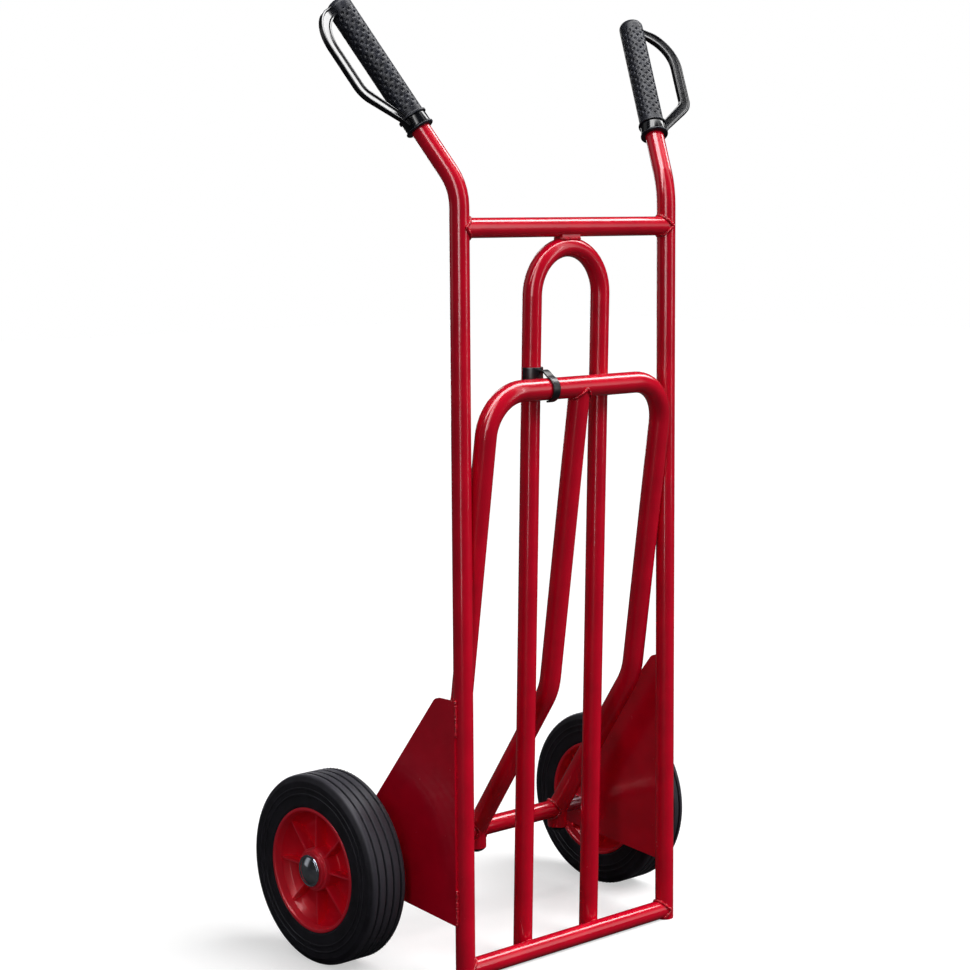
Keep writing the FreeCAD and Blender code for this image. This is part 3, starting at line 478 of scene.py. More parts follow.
def round_tree():
    """Repeats the given piece round the X axis."""
    tree, start = new_geometry_tree("repeat_round", [
        ("Count", "NodeSocketInt", 8), ("Material", "NodeSocketMaterial", None)])
    points = add_node(tree, "GeometryNodePoints", links={"Count": start.outputs["Count"]})
    step = maths(tree, "DIVIDE", 2 * math.pi, start.outputs["Count"])
    angle = maths(tree, "MULTIPLY", add_node(tree, "GeometryNodeInputIndex").outputs[0], step)
    turn = add_node(tree, "ShaderNodeCombineXYZ", links={"X": angle})
    copies = add_node(tree, "GeometryNodeInstanceOnPoints", links={
        "Points": points.outputs[0], "Instance": start.outputs["Geometry"],
        "Rotation": turn.outputs[0]})
    return end_tree(tree, start, copies.outputs[0], smooth=False)


def bead_tree():
    """Weld metal: overlapping puddles laid along the given lines."""
    tree, start = new_geometry_tree("weld_puddles", [
        ("Spacing", "NodeSocketFloat", 2.2 * MM), ("Puddle", "NodeSocketFloat", 2.6 * MM),
        ("Seed", "NodeSocketInt", 3), ("Material", "NodeSocketMaterial", None)])
    line = add_node(tree, "GeometryNodeMeshToCurve", links={"Mesh": start.outputs["Geometry"]})
    even = add_node(tree, "GeometryNodeResampleCurve", {"mode": "LENGTH"},
                    {"Curve": line.outputs[0], "Length": start.outputs["Spacing"]})
    puddle = add_node(tree, "GeometryNodeMeshIcoSphere", {"Subdivisions": 2},
                      {"Radius": start.outputs["Puddle"]})
    size = add_node(tree, "FunctionNodeRandomValue", {"data_type": "FLOAT"},
                    {"Seed": start.outputs["Seed"]})
    size.inputs[2].default_value = 0.82
    size.inputs[3].default_value = 1.12
    copies = add_node(tree, "GeometryNodeInstanceOnPoints", links={
        "Points": even.outputs[0], "Instance": puddle.outputs[0], "Scale": size.outputs[1]})
    return end_tree(tree, start, copies.outputs[0])


def dimple_tree():
    """Presses a staggered field of round dimples into a grip that stands on local Z."""
    tree, start = new_geometry_tree("grip_dimples", [
        ("Rows", "NodeSocketInt", 14), ("Pitch", "NodeSocketFloat", 8 * MM),
        ("Dimple", "NodeSocketFloat", 1.9 * MM), ("Depth", "NodeSocketFloat", 0.9 * MM),
        ("Low", "NodeSocketFloat", 0.03), ("High", "NodeSocketFloat", 0.17),
        ("Radius", "NodeSocketFloat", 16.4 * MM), ("Material", "NodeSocketMaterial", None)])
    calc, given = partial(maths, tree), start.outputs
    x, y, z = add_node(tree, "ShaderNodeSeparateXYZ", links={
        "Vector": add_node(tree, "GeometryNodeInputPosition").outputs[0]}).outputs
    turns = calc("MULTIPLY", calc("DIVIDE", calc("ARCTAN2", y, x), 2 * math.pi), given["Rows"])
    level = calc("DIVIDE", calc("SUBTRACT", z, given["Low"]), given["Pitch"])
    pitch_round = calc("DIVIDE", calc("MULTIPLY", given["Radius"], 2 * math.pi), given["Rows"])
    near = None
    for offset in (100.0, 100.5):  # two grids, the second half a cell on both ways
        across, upward = (
            calc("MULTIPLY", calc("SUBTRACT", calc("FRACT", calc("ADD", count, offset)), 0.5),
                 pitch)
            for count, pitch in ((turns, pitch_round), (level, given["Pitch"])))
        away = calc("SQRT", calc("ADD", calc("POWER", across, 2), calc("POWER", upward, 2)))
        near = away if near is None else calc("MINIMUM", near, away)
    bowl = add_node(tree, "ShaderNodeMapRange", {
        "interpolation_type": "SMOOTHSTEP", "From Min": 0.35, "From Max": 1.0,
        "To Min": 1.0, "To Max": 0.0}, {"Value": calc("DIVIDE", near, given["Dimple"])})
    inside = calc("MULTIPLY", calc("GREATER_THAN", z, given["Low"]),
                  calc("LESS_THAN", z, given["High"]))
    depth = calc("MULTIPLY", calc("MULTIPLY", bowl.outputs[0], inside),
                 calc("MULTIPLY", given["Depth"], -1))
    outward = add_node(tree, "ShaderNodeVectorMath", {"operation": "NORMALIZE"}, {
        0: add_node(tree, "ShaderNodeCombineXYZ", links={"X": x, "Y": y}).outputs[0]})
    shift = add_node(tree, "ShaderNodeVectorMath", {"operation": "SCALE"},
                     {0: outward.outputs[0], "Scale": depth})
    moved = add_node(tree, "GeometryNodeSetPosition", links={
        "Geometry": start.outputs["Geometry"], "Offset": shift.outputs[0]})
    return end_tree(tree, start, moved.outputs[0])


def plain_mesh(name, vertices, faces, edges=(), bevel=0.0):
    """A cleaned mesh to feed to a tree, with its edges taken off if asked."""
    mesh = bpy.data.meshes.new(f"{name}_source")
    mesh.from_pydata([tuple(vertex) for vertex in vertices], list(edges), faces)
    if not faces:
        return mesh
    work = bmesh.new()
    work.from_mesh(mesh)
    bmesh.ops.remove_doubles(work, verts=work.verts, dist=1e-6)
    bmesh.ops.recalc_face_normals(work, faces=work.faces)
    if bevel:
        bmesh.ops.bevel(work, geom=work.edges[:], offset=bevel, segments=2, profile=0.5,
                        affect="EDGES")
    work.to_mesh(mesh)
    work.free()
    return mesh


def grow(name, mesh, tree, values):
    """Runs a tree on a small source mesh and returns the plain mesh that it makes."""
    source = bpy.data.objects.new(f"{name}_source", mesh)
    bpy.context.scene.collection.objects.link(source)
    modifier = source.modifiers.new("nodes", "NODES")
    modifier.node_group = tree
    for item in tree.interface.items_tree:
        if item.item_type == "SOCKET" and item.in_out == "INPUT" and item.name in values:
            modifier[item.identifier] = values[item.name]
    bpy.context.view_layer.update()
    evaluated = source.evaluated_get(bpy.context.evaluated_depsgraph_get())
    made = bpy.data.meshes.new_from_object(evaluated)
    made.name = name
    bpy.data.objects.remove(source)
    bpy.data.meshes.remove(mesh)
    return made


# ------------------------------------------------------------------ properties

def length_setting(name, description, size_mm):
    """A length, shown in the scene's units."""
    return FloatProperty(name=name, description=description, subtype="DISTANCE",
                         unit="LENGTH", default=size_mm * MM)


def colour_setting(name, description, code):
    """A colour with its hex value at the start."""
    return FloatVectorProperty(name=name, description=description, subtype="COLOR", size=4,
                               min=0, max=1, default=srgb(code))


class PaintSettings(bpy.types.PropertyGroup):
    enamel: colour_setting("Enamel", "Colour of the steel tube and plate", "#d20427")
    weld_spacing: length_setting("Weld spacing", "Distance between weld puddles", 1.8)
    weld_puddle: length_setting("Weld puddle", "Radius of a weld puddle", 2.1)


class GripSettings(bpy.types.PropertyGroup):
    dimple_rows: IntProperty(
        name="Dimple rows", description="Rows of dimples round the grip", default=10)
    dimple_pitch: length_setting("Dimple pitch", "Distance between dimples along", 11.0)
    dimple_radius: length_setting("Dimple radius", "Radius of one dimple", 2.4)
    dimple_depth: length_setting("Dimple depth", "Depth of one dimple", 1.3)
    guard_width: length_setting("Guard width", "Width of the guard's band", 15.5)
    guard_thickness: length_setting("Guard thickness", "Thickness over its rims", 7.0)


class WheelSettings(bpy.types.PropertyGroup):
    wheel_red: colour_setting("Wheel colour", "Colour of the moulded wheel", "#d60c26")
    rib_count: IntProperty(name="Ribs", description="Ribs on each face", default=8)
    rib_thickness: length_setting("Rib thickness", "Thickness of a rib", 2.4)
    sipe_count: IntProperty(
        name="Sipes", description="Slanted ribs round each tread band", default=110)


class StageSettings(bpy.types.PropertyGroup):
    show_floor: BoolProperty(name="Floor", description="Make the pale floor", default=True)
    lens: FloatProperty(name="Lens", description="Focal length in millimetres", default=81.42)
    overhead: FloatProperty(name="Overhead", description="Soft light from above", default=3.0)
    key_power: FloatProperty(name="Key light", description="Watts", default=9.0)
    fill_power: FloatProperty(name="Fill light", description="Watts", default=4.0)


# ------------------------------------------------------------------ frame

def dress(nodes, material):
    """Gives CAD nodes a material and leaves their shape alone."""
    for name in nodes:
        mesh = frame["nodes"][name].data
        mesh.materials.clear()
        mesh.materials.append(material)


def tee_line(pipe_radius, stem_radius, place, steps=48, lift=1.0 * MM):
    """The closed line where a round stem meets a pipe: local X out of the pipe, Z along it."""
    line = []
    for step in range(steps):
        angle = 2 * math.pi * step / steps
        across = (stem_radius + lift) * math.sin(angle)
        depth = math.sqrt(max((pipe_radius + lift) ** 2 - across ** 2, 0))
        line.append(place @ Vector((depth, across, (stem_radius + lift) * math.cos(angle))))
    return line


def place_of(origin, out, along):
    """A frame with local X along 'out' and Z along 'along'."""
    return Matrix.Translation(origin) @ Matrix((
        out, along.cross(out), along)).transposed().to_4x4()


def frame_weld_lines():
    """Centre lines of the frame's beads, closed or open."""
    radius = tube_radius("top_crossbar")
    bottom, top = middle("bottom_crossbar"), middle("top_crossbar")
    half = (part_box("top_crossbar")[1].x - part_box("top_crossbar")[0].x) / 2
    closed, opened = [], []
    for side in (-1, 1):
        for bar in (bottom, top):
            origin = Vector((side * half, bar.y, bar.z))
            ring = tee_line(radius, radius, place_of(
                origin, Vector((-side, 0, 0)), Vector((0, 0, 1))))
            if bar is top:
                closed.append(ring)
            else:  # the underside, which stands on the floor, has no bead
                middle_step = len(ring) // 2
                opened.append([spot for spot in ring[middle_step:] + ring[:middle_step]
                               if spot.z > 2.4 * MM])
    return closed, opened


def hoop_foot_lines():
    """Rings of bead where the hoop's legs touch the rear of the bottom crossbar."""
    radius = tube_radius("bottom_crossbar")
    bar = middle("bottom_crossbar")
    low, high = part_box("inner_hoop")
    ring = 0.62 * radius
    lines = []
    for foot in (low.x + radius, high.x - radius):
        lines.append([Vector((foot + ring * math.cos(angle), bar.y + radius,
                              bar.z + ring * math.sin(angle)))
                      for angle in np.linspace(0, 2 * math.pi, 24, endpoint=False)])
    return lines


def stub_line():
    """A bead round the lug under the top crossbar."""
    low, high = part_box("hoop_stub")
    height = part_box("top_crossbar")[0].z - 2.5 * MM
    half_x, half_y = (high.x - low.x) / 2, (high.y - low.y) / 2
    centre = (low + high) / 2
    corners = rounded([(-half_x, -half_y), (half_x, -half_y), (half_x, half_y),
                       (-half_x, half_y)], 4 * MM)
    return [Vector((centre.x + spot.x, centre.y + spot.y, height)) for spot in corners]


def plate_lines():
    """Two open runs of bead down the front edge of each side plate."""
    lines = []
    for word, side in SIDES:
        low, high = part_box(f"{word}_side_plate")
        run = 46 * MM
        for bottom in (low.z, high.z - run):
            edge = (low.x + high.x) / 2
            lines.append([Vector((edge, low.y - 0.6 * MM, bottom + share * run))
                          for share in np.linspace(0.02, 0.98, 12)])
    return lines


def toe_weld_lines():
    """Beads where the pivot tubes meet the legs and the middle leg meets the cross member."""
    axle = joint_place("toe_fold")
    sleeve = tube_radius("left_wheel_spacer") - 1.5 * MM
    low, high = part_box("toe_hoop")
    leg = (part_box("toe_middle_leg")[1].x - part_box("toe_middle_leg")[0].x) / 2
    half = (high.x - low.x) / 2 - leg
    lean = math.radians(16.9)
    along = Vector((0, -math.sin(lean), math.cos(lean)))
    lines = []
    for origin, out in ((-half, 1), (0, -1), (0, 1), (half, -1)):
        lines.append(tee_line(leg, sleeve, place_of(
            Vector((origin, axle.y, axle.z)), Vector((out, 0, 0)), along)))
    hinge = joint_place("clip_swing")
    down = Vector((0, 0.1426, -0.9898))
    lines.append(tee_line(leg, leg, place_of(
        Vector((0, hinge.y, hinge.z)), down, Vector((1, 0, 0))), lift=0.8 * MM))
    return lines


def lay_beads(name, closed, opened, material, body, replaced):
    """Lays weld metal along closed and open lines, in place of a CAD node."""
    vertices, edges = [], []
    for line, loop in [(item, True) for item in closed] + [(item, False) for item in opened]:
        base = len(vertices)
        vertices += line
        edges += [(base + index, base + index + 1) for index in range(len(line) - 1)]
        if loop:
            edges.append((base + len(line) - 1, base))
    settings = bpy.context.scene.truck_paint
    mesh = grow(name, plain_mesh(name, vertices, [], edges), bead_tree(), {
        "Spacing": settings.weld_spacing, "Puddle": settings.weld_puddle,
        "Material": material})
    piece = adopt(name, mesh, material, body, smooth=60)
    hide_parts(replaced)
    return piece


class TRUCK_OT_frame(bpy.types.Operator):
    """Paints the welded frame and the axle, and lays the weld beads"""
    bl_idname = "truck.frame"
    bl_label = "Frame and welds"

    def execute(self, context):
        settings = context.scene.truck_paint
        enamel = red_enamel(settings.enamel)
        lumpy = weld_enamel(settings.enamel)
        dress(RED_NODES, enamel)
        dress(STEEL_NODES, zinc_plate())
        closed, opened = frame_weld_lines()
        lay_beads("frame_weld_beads", closed + hoop_foot_lines() + [stub_line()],
                  opened + plate_lines(), lumpy, "frame", "frame_welds")
        lay_beads("toe_weld_beads", toe_weld_lines(), [], lumpy, "toe", "toe_welds")
        return {"FINISHED"}


# ------------------------------------------------------------------ grips and guards

COLLAR = 3.0 * MM
NECK_TOP = 17.0 * MM
HAND_START = 20.0 * MM
COLLAR_RADIUS = 18.6 * MM
NECK_RADIUS = 15.0 * MM
GRIP_RADIUS = 16.3 * MM
TUBE_END = 184.0 * MM
GUARD_CORNERS = ((14, 10.5), (22, 22), (63, 64), (63, 164), (13, 181.5))  # mm: outward, along
GUARD_BENDS = (12 * MM, 25 * MM, 50 * MM)
GUARD_TURN = 8  # degrees round the handle, toward the load side


def grip_outline(length):
    """(height, radius) round half the grip's section, with close rows along the hand part."""
    bore = tube_radius("top_crossbar")
    outline = [(0, bore, 0), (0, COLLAR_RADIUS - 1.2 * MM, 0.8 * MM),
               (0.4 * COLLAR, COLLAR_RADIUS, 0.8 * MM), (COLLAR, COLLAR_RADIUS, 0.8 * MM),
               (COLLAR, NECK_RADIUS, 0.8 * MM), (NECK_TOP, NECK_RADIUS, 0.8 * MM),
               (NECK_TOP, COLLAR_RADIUS, 0.8 * MM), (HAND_START, COLLAR_RADIUS, 0.8 * MM),
               (HAND_START, GRIP_RADIUS, 1.0 * MM)]
    corners = rounded(outline + [(length, GRIP_RADIUS, 0), (length, bore, 0)], 0.8 * MM)
    low = [spot for spot in corners if spot.x < HAND_START + 1 * MM]
    rows = [Vector((height, GRIP_RADIUS))
            for height in np.arange(HAND_START + 1.5 * MM, length - 9 * MM, 0.95 * MM)]
    crown = [Vector((length - 9 * MM + 9 * MM * math.sin(angle),
                     GRIP_RADIUS - 9 * MM * (1 - math.cos(angle))))
             for angle in np.linspace(0, math.pi / 2, 12)]
    inside = [Vector((length, 0)), Vector((TUBE_END, 0)), Vector((TUBE_END, bore))]
    return low + rows + crown + inside


def make_grip(word, side, material, settings):
    """One grip: turned, dimpled and set on its handle."""
    place, length = grip_place(word, side)
    vertices, faces = turned(grip_outline(length), 128, Matrix.Identity(4))
    mesh = grow(f"{word}_grip_moulding", plain_mesh("grip", vertices, faces), dimple_tree(), {
        "Rows": settings.dimple_rows, "Pitch": settings.dimple_pitch,
        "Dimple": settings.dimple_radius, "Depth": settings.dimple_depth,
        "Low": HAND_START + 8 * MM, "High": length - 16 * MM, "Radius": GRIP_RADIUS,
        "Material": material})
    mesh.transform(place)
    piece = adopt(f"{word}_grip_moulding", mesh, material, "frame", smooth=50)
    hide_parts(f"{word}_grip")


def guard_section(settings):
    """An I section with soft rims: (in the plane of the D, out of it)."""
    half, rim = settings.guard_width / 2, 2.7 * MM
    up, web = settings.guard_thickness / 2, 1.5 * MM
    corners = [(-half, -up), (rim - half, -up), (rim - half + 0.5 * MM, -web),
               (half - rim - 0.5 * MM, -web), (half - rim, -up), (half, -up)]
    corners += [(-side, -height) for side, height in corners]
    return [tuple(spot) for spot in rounded(corners, 1.1 * MM, 4)]


def make_guard(word, side, material, settings):
    """One knuckle guard: a bow that narrows to its foot, and the ring round the neck."""
    place = grip_place(word, side)[0] @ Matrix.Rotation(
        math.radians(-GUARD_TURN * side), 4, "Z")
    corners = [Vector((out * MM, 0, along * MM)) for out, along in GUARD_CORNERS]
    route = rounded_route(corners, GUARD_BENDS, 2 * MM)
    section = guard_section(settings)
    vertices, faces = sweep(route, section, Vector((0, 1, 0)))
    count = len(section)
    foot, narrow = corners[0].x, 0.72
    for index, spot in enumerate(route):
        share = narrow + (1 - narrow) * (spot.x - foot) / (20 * MM)
        share = min(1.0, max(share, narrow))
        for corner in range(index * count, (index + 1) * count):
            vertices[corner] = spot + (vertices[corner] - spot) * share
    arm = finish_mesh(f"{word}_guard_bow", vertices, faces, material, "frame",
                      32, place)
    outer = COLLAR_RADIUS - 1.8 * MM
    ring = rounded([(COLLAR + 0.6 * MM, NECK_RADIUS), (NECK_TOP - 0.6 * MM, NECK_RADIUS),
                    (NECK_TOP - 0.6 * MM, outer), (COLLAR + 0.6 * MM, outer)], 0.7 * MM)
    vertices, faces = turned(ring, 96, place)
    finish_mesh(f"{word}_guard_ring", vertices, faces, material, "frame")
    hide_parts(f"{word}_knuckle_guard")


class TRUCK_OT_grips(bpy.types.Operator):
    """Moulds the dimpled grips and the knuckle guards round them"""
    bl_idname = "truck.grips"
    bl_label = "Grips and guards"

    def execute(self, context):
        settings = context.scene.truck_grips
        vinyl, nylon = grip_vinyl(), guard_nylon()
        for word, side in SIDES:
            make_grip(word, side, vinyl, settings)
            make_guard(word, side, nylon, settings)
        return {"FINISHED"}


# ------------------------------------------------------------------ wheels

def face_out(side):
    """A half turn for the left side, so that local X points away from the truck."""
    return Matrix.Identity(4) if side > 0 else Matrix.Rotation(math.pi, 4, "Z")


def wheel_place(word, side):
    """A frame at the wheel's centre, the tyre's half width and radius, and the rim's radius."""
    low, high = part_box(f"{word}_tyre")
    rim_low, rim_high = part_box(f"{word}_rim")
    place = Matrix.Translation((low + high) / 2) @ face_out(side)
    return place, (high.x - low.x) / 2, (high.z - low.z) / 2, (rim_high.z - rim_low.z) / 2


def both_faces(side, steps):
    """The section of a wheel part that is alike on both faces, from one side's corners."""
    return rounded(side + [(-across, height, bend) for across, height, bend in reversed(side)],
                   1 * MM, steps)


def tyre_outline(half, radius, rim):
    """Moulded section: beads on the rim, ringed sidewalls, round shoulders, grooved tread."""
    groove, depth, pitch = 3.4 * MM, 3 * MM, 12 * MM
    side = [(10 * MM, rim - 13 * MM, 0), (10 * MM, rim - 3 * MM, 0),
            (half - 4 * MM, rim - 3 * MM, 0), (half - 4 * MM, rim, 0),
            (half - 1 * MM, rim + 0.2 * MM, 0.4 * MM), (half - 0.5 * MM, rim + 3 * MM, 2 * MM)]
    for ring in (rim + 17 * MM, rim + 25 * MM):
        side += [(half - 0.6 * MM, ring - 1.6 * MM, 0.3 * MM),
                 (half, ring - 0.6 * MM, 0.4 * MM), (half, ring + 0.6 * MM, 0.4 * MM),
                 (half - 0.6 * MM, ring + 1.6 * MM, 0.3 * MM)]
    side += [(half - 0.4 * MM, radius - 9 * MM, 3 * MM),
             (half - 4 * MM, radius - 1.6 * MM, 4 * MM),
             (half - 7 * MM, radius - 0.4 * MM, 1 * MM)]
    for place in (1.5 * pitch, 0.5 * pitch):
        side += [(place + groove / 2, radius - 0.1 * MM, 0.7 * MM),
                 (place + groove / 3, radius - depth, 0.6 * MM),
                 (place - groove / 3, radius - depth, 0.6 * MM),
                 (place - groove / 2, radius - 0.1 * MM, 0.7 * MM)]
    return both_faces(side, 3)


def add_tyre(word, side, material, settings):
    """The tyre, and the short slanted ribs round the inner edge of its tread."""
    place, half, radius, rim = wheel_place(word, side)
    vertices, faces = lathe(tyre_outline(half, radius, rim), 160)
    tyre = finish_mesh(f"{word}_tyre_moulding", vertices, faces, material, f"{word}_wheel",
                       30, place)
    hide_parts(f"{word}_tyre")
    corners, faces = solid_box(2.6 * MM, 0.5 * MM, 0.35 * MM)
    seat = Matrix.Translation((-21.8 * MM, 0, radius - 0.45 * MM)) @ Matrix.Rotation(
        math.radians(38), 4, "Z")
    vertices = [seat @ Vector(corner) for corner in corners]
    mesh = grow(f"{word}_tread_sipes", plain_mesh("sipe", vertices, faces), round_tree(), {
        "Count": settings.sipe_count, "Material": material})
    mesh.transform(place)
    adopt(f"{word}_tread_sipes", mesh, material, f"{word}_wheel", 30)


def rim_outline(half, rim):
    """Channelled barrel, rolled lip, dished face and a stepped boss; both faces alike."""
    side = [(9.8 * MM, rim - 13 * MM, 0), (9.8 * MM, rim - 3.2 * MM, 0),
            (half - 4.2 * MM, rim - 3.2 * MM, 0), (half - 4.2 * MM, rim - 0.2 * MM, 0),
            (half - 0.2 * MM, rim - 0.2 * MM, 1.2 * MM),
            (half - 0.2 * MM, rim - 4 * MM, 1.4 * MM),
            (half - 2.2 * MM, rim - 5.2 * MM, 1.4 * MM), (19 * MM, 75 * MM, 6 * MM),
            (11 * MM, 70 * MM, 6 * MM), (4.6 * MM, 62 * MM, 6 * MM),
            (4 * MM, 52 * MM, 6 * MM), (4 * MM, 29 * MM, 3 * MM),
            (half - 4 * MM, 28 * MM, 1.5 * MM), (half - 4 * MM, 25 * MM, 1 * MM),
            (half, 24.4 * MM, 1 * MM), (half, 14 * MM, 0)]
    return both_faces(side, 4)


# One rib, in mm: across from the wheel's middle plane, then out from its axis.
RIB = ((3, 26), (22.5, 26), (21.5, 31), (20.5, 62), (19.5, 75.5), (10, 71), (3, 61))


def add_rim(word, side, material, settings):
    """The moulded wheel, and ribs on both its faces."""
    place, half, _, rim = wheel_place(word, side)
    vertices, faces = lathe(rim_outline(half, rim), 144)
    piece = finish_mesh(f"{word}_wheel_moulding", vertices, faces, material,
                        f"{word}_wheel", 35, place)
    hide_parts(f"{word}_rim")
    thick, count = settings.rib_thickness / 2, len(RIB)
    vertices, faces = [], []
    for face in (1, -1):
        base = len(vertices)
        vertices += [Vector((face * across * MM, offset * thick, height * MM))
                     for offset in (-1, 1) for across, height in RIB]
        faces.append(tuple(range(base, base + count)))
        faces.append(tuple(range(base + 2 * count - 1, base + count - 1, -1)))
        for index in range(count):
            following = (index + 1) % count
            faces.append((base + index, base + count + index,
                          base + count + following, base + following))
    mesh = grow(f"{word}_wheel_ribs", plain_mesh("rib", vertices, faces, bevel=0.6 * MM),
                round_tree(), {"Count": settings.rib_count, "Material": material})
    mesh.transform(place)
    adopt(f"{word}_wheel_ribs", mesh, material, f"{word}_wheel", 35)


def add_cap(word, side, material):
    """A pressed cap: rolled edge, a step, then the dome."""
    low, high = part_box(f"{word}_axle_cap")
    centre = (low + high) / 2
    depth, radius = high.x - low.x, (high.z - low.z) / 2
    dome, edge = 0.84 * radius, 1.4 * MM
    rise = depth - edge - 0.2 * MM
    bulge = (dome ** 2 + rise ** 2) / (2 * rise)
    outline = [(0.2 * MM, 10 * MM, 0), (0, radius - 0.8 * MM, 0.4 * MM),
               (0.5 * MM, radius, 0.5 * MM),
               (edge, radius - 0.4 * MM, 0.5 * MM), (edge - 0.4 * MM, dome + 1.4 * MM, 0.4 * MM),
               (edge - 0.2 * MM, dome, 0.3 * MM)]
    outline = [tuple(spot) for spot in rounded(outline, 0.4 * MM, 4)]
    spread = math.asin(dome / bulge)
    outline += [(edge + rise - bulge + bulge * math.cos(angle), bulge * math.sin(angle))
                for angle in np.linspace(spread, 0, 22)]
    outline += [(edge, 0), (edge, 10 * MM)]
    face = low.x if side > 0 else high.x
    place = Matrix.Translation((face, centre.y, centre.z)) @ face_out(side)
    vertices, faces = lathe(outline, 96)
    piece = finish_mesh(f"{word}_cap_pressing", vertices, faces, material, "frame",
                        30, place)
    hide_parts(f"{word}_axle_cap")


class TRUCK_OT_wheels(bpy.types.Operator):
    """Moulds the tyres and ribbed wheels, and presses the axle caps"""
    bl_idname = "truck.wheels"
    bl_label = "Wheels and caps"

    def execute(self, context):
        settings = context.scene.truck_wheels
        rubber, chrome = tyre_rubber(), chrome_plate()
        red = wheel_polypropylene(settings.wheel_red)
        dress(("left_bush", "right_bush"), bush_nylon())
        for word, side in SIDES:
            add_tyre(word, side, rubber, settings)
            add_rim(word, side, red, settings)
            add_cap(word, side, chrome)
        return {"FINISHED"}


# ------------------------------------------------------------------ toe plugs and strap clip

def clip_strip_route(hinge, radius):
    """From the saddle, up and forward over the cross member, round its front and under."""
    round_start, round_end = math.radians(112), math.radians(262)
    spot = hinge + radius * Vector((0, math.cos(round_start), math.sin(round_start)))
    heading = Vector((0, -math.sin(round_start), math.cos(round_start)))
    first = hinge + Vector((0, 12.5, 20.5)) * MM
    lift = hinge + Vector((0, 5.5, 27.5)) * MM
    draw = spot - heading * 7 * MM
    route = []
    for share in np.linspace(0, 1, 16, endpoint=False):
        rest = 1 - share
        route.append(first * rest ** 3 + lift * 3 * rest ** 2 * share
                     + draw * 3 * rest * share ** 2 + spot * share ** 3)
    return route + [hinge + radius * Vector((0, math.cos(angle), math.sin(angle)))
                    for angle in np.linspace(round_start, round_end, 30)]


def add_clip(material):
    """The strap round the cross member, and the open saddle that snaps over the rail."""
    hinge = joint_place("clip_swing")
    low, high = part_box("toe_clip")
    leg_low, leg_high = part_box("toe_middle_leg")
    thick, wide = 1.3 * MM, 5.8 * MM
    strip = rounded([(-thick, -wide), (thick, -wide), (thick, wide), (-thick, wide)], 0.9 * MM)
    route = clip_strip_route(hinge, (leg_high.x - leg_low.x) / 2 + 1.8 * MM)
    vertices, faces = sweep(route, strip, Vector((1, 0, 0)))
    piece = finish_mesh("clip_strap", vertices, faces, material, "clip")
    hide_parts("toe_clip")
    band_height = 18.5 * MM
    reach = tube_radius("top_crossbar") + 1.8 * MM
    centre = Vector(((low.x + high.x) / 2, high.y, high.z - band_height / 2))
    route = [centre + reach * Vector((math.cos(angle), math.sin(angle), 0))
             for angle in np.linspace(math.radians(-3), math.radians(-177), 40)]
    tall, rim = band_height / 2 - 0.3 * MM, 1.5 * MM
    band = rounded([(-thick, -tall), (thick, -tall), (rim, 2 * MM - tall, 0.4 * MM),
                    (rim, tall - 2 * MM, 0.4 * MM), (thick, tall), (-thick, tall)], 0.9 * MM)
    vertices, faces = sweep(route, band, Vector((0, 0, 1)))
    finish_mesh("clip_saddle", vertices, faces, material, "clip")


class TRUCK_OT_toe(bpy.types.Operator):
    """Finishes the toe frame's plugs and makes its strap clip"""
    bl_idname = "truck.toe"
    bl_label = "Toe plugs and clip"

    def execute(self, context):
        dress(("left_leg_plug", "middle_leg_plug", "right_leg_plug"), guard_nylon())
        add_clip(strap_rubber())
        return {"FINISHED"}


# ------------------------------------------------------------------ stage

def add_light(name, place, target, width, height, power):
    """A soft rectangular source that the camera doesn't see."""
    data = bpy.data.lights.new(name, "AREA")
    data.shape = "RECTANGLE"
    data.size, data.size_y = width, height
    data.energy = power
    lamp = bpy.data.objects.new(name, data)
    lamp.location = place
    lamp.rotation_euler = (Vector(target) - Vector(place)).to_track_quat("-Z", "Y").to_euler()
    lamp.visible_camera = False
    bpy.context.scene.collection.objects.link(lamp)


def add_overhead(strength):
    """A very wide soft source from above, that leaves no highlight."""
    data = bpy.data.lights.new("overhead", "SUN")
    data.energy = strength
    data.angle = math.radians(42)
    lamp = bpy.data.objects.new("overhead", data)
    lamp.rotation_euler = Vector((-0.34, 0.5, -0.8)).to_track_quat("-Z", "Y").to_euler()
    lamp.visible_glossy = False
    bpy.context.scene.collection.objects.link(lamp)


def add_camera(settings):
    """Stands off the frame's plane to its left, at chest height, turned and shifted a little."""
    plane = middle("bottom_crossbar").y
    data = bpy.data.cameras.new("camera")
    data.lens = settings.lens
    data.sensor_width = 36
    data.shift_x = 0.02951
    data.shift_y = 0.001575
    yaw, pitch, roll = (math.radians(angle) for angle in (-41.763, 6.869, -0.5))
    back = Vector((math.sin(yaw) * math.cos(pitch), -math.cos(yaw) * math.cos(pitch),
                   math.sin(pitch)))
    right = Vector((math.cos(yaw), math.sin(yaw), 0))
    up = back.cross(right)
    tilted = math.cos(roll) * right + math.sin(roll) * up
    raised = -math.sin(roll) * right + math.cos(roll) * up
    camera = bpy.data.objects.new("camera", data)
    turn = Matrix((tilted, raised, back)).transposed().to_4x4()
    camera.matrix_world = Matrix.Translation((-1.985975, plane - 2.007291, 0.95713)) @ turn
    bpy.context.scene.collection.objects.link(camera)
    bpy.context.scene.camera = camera


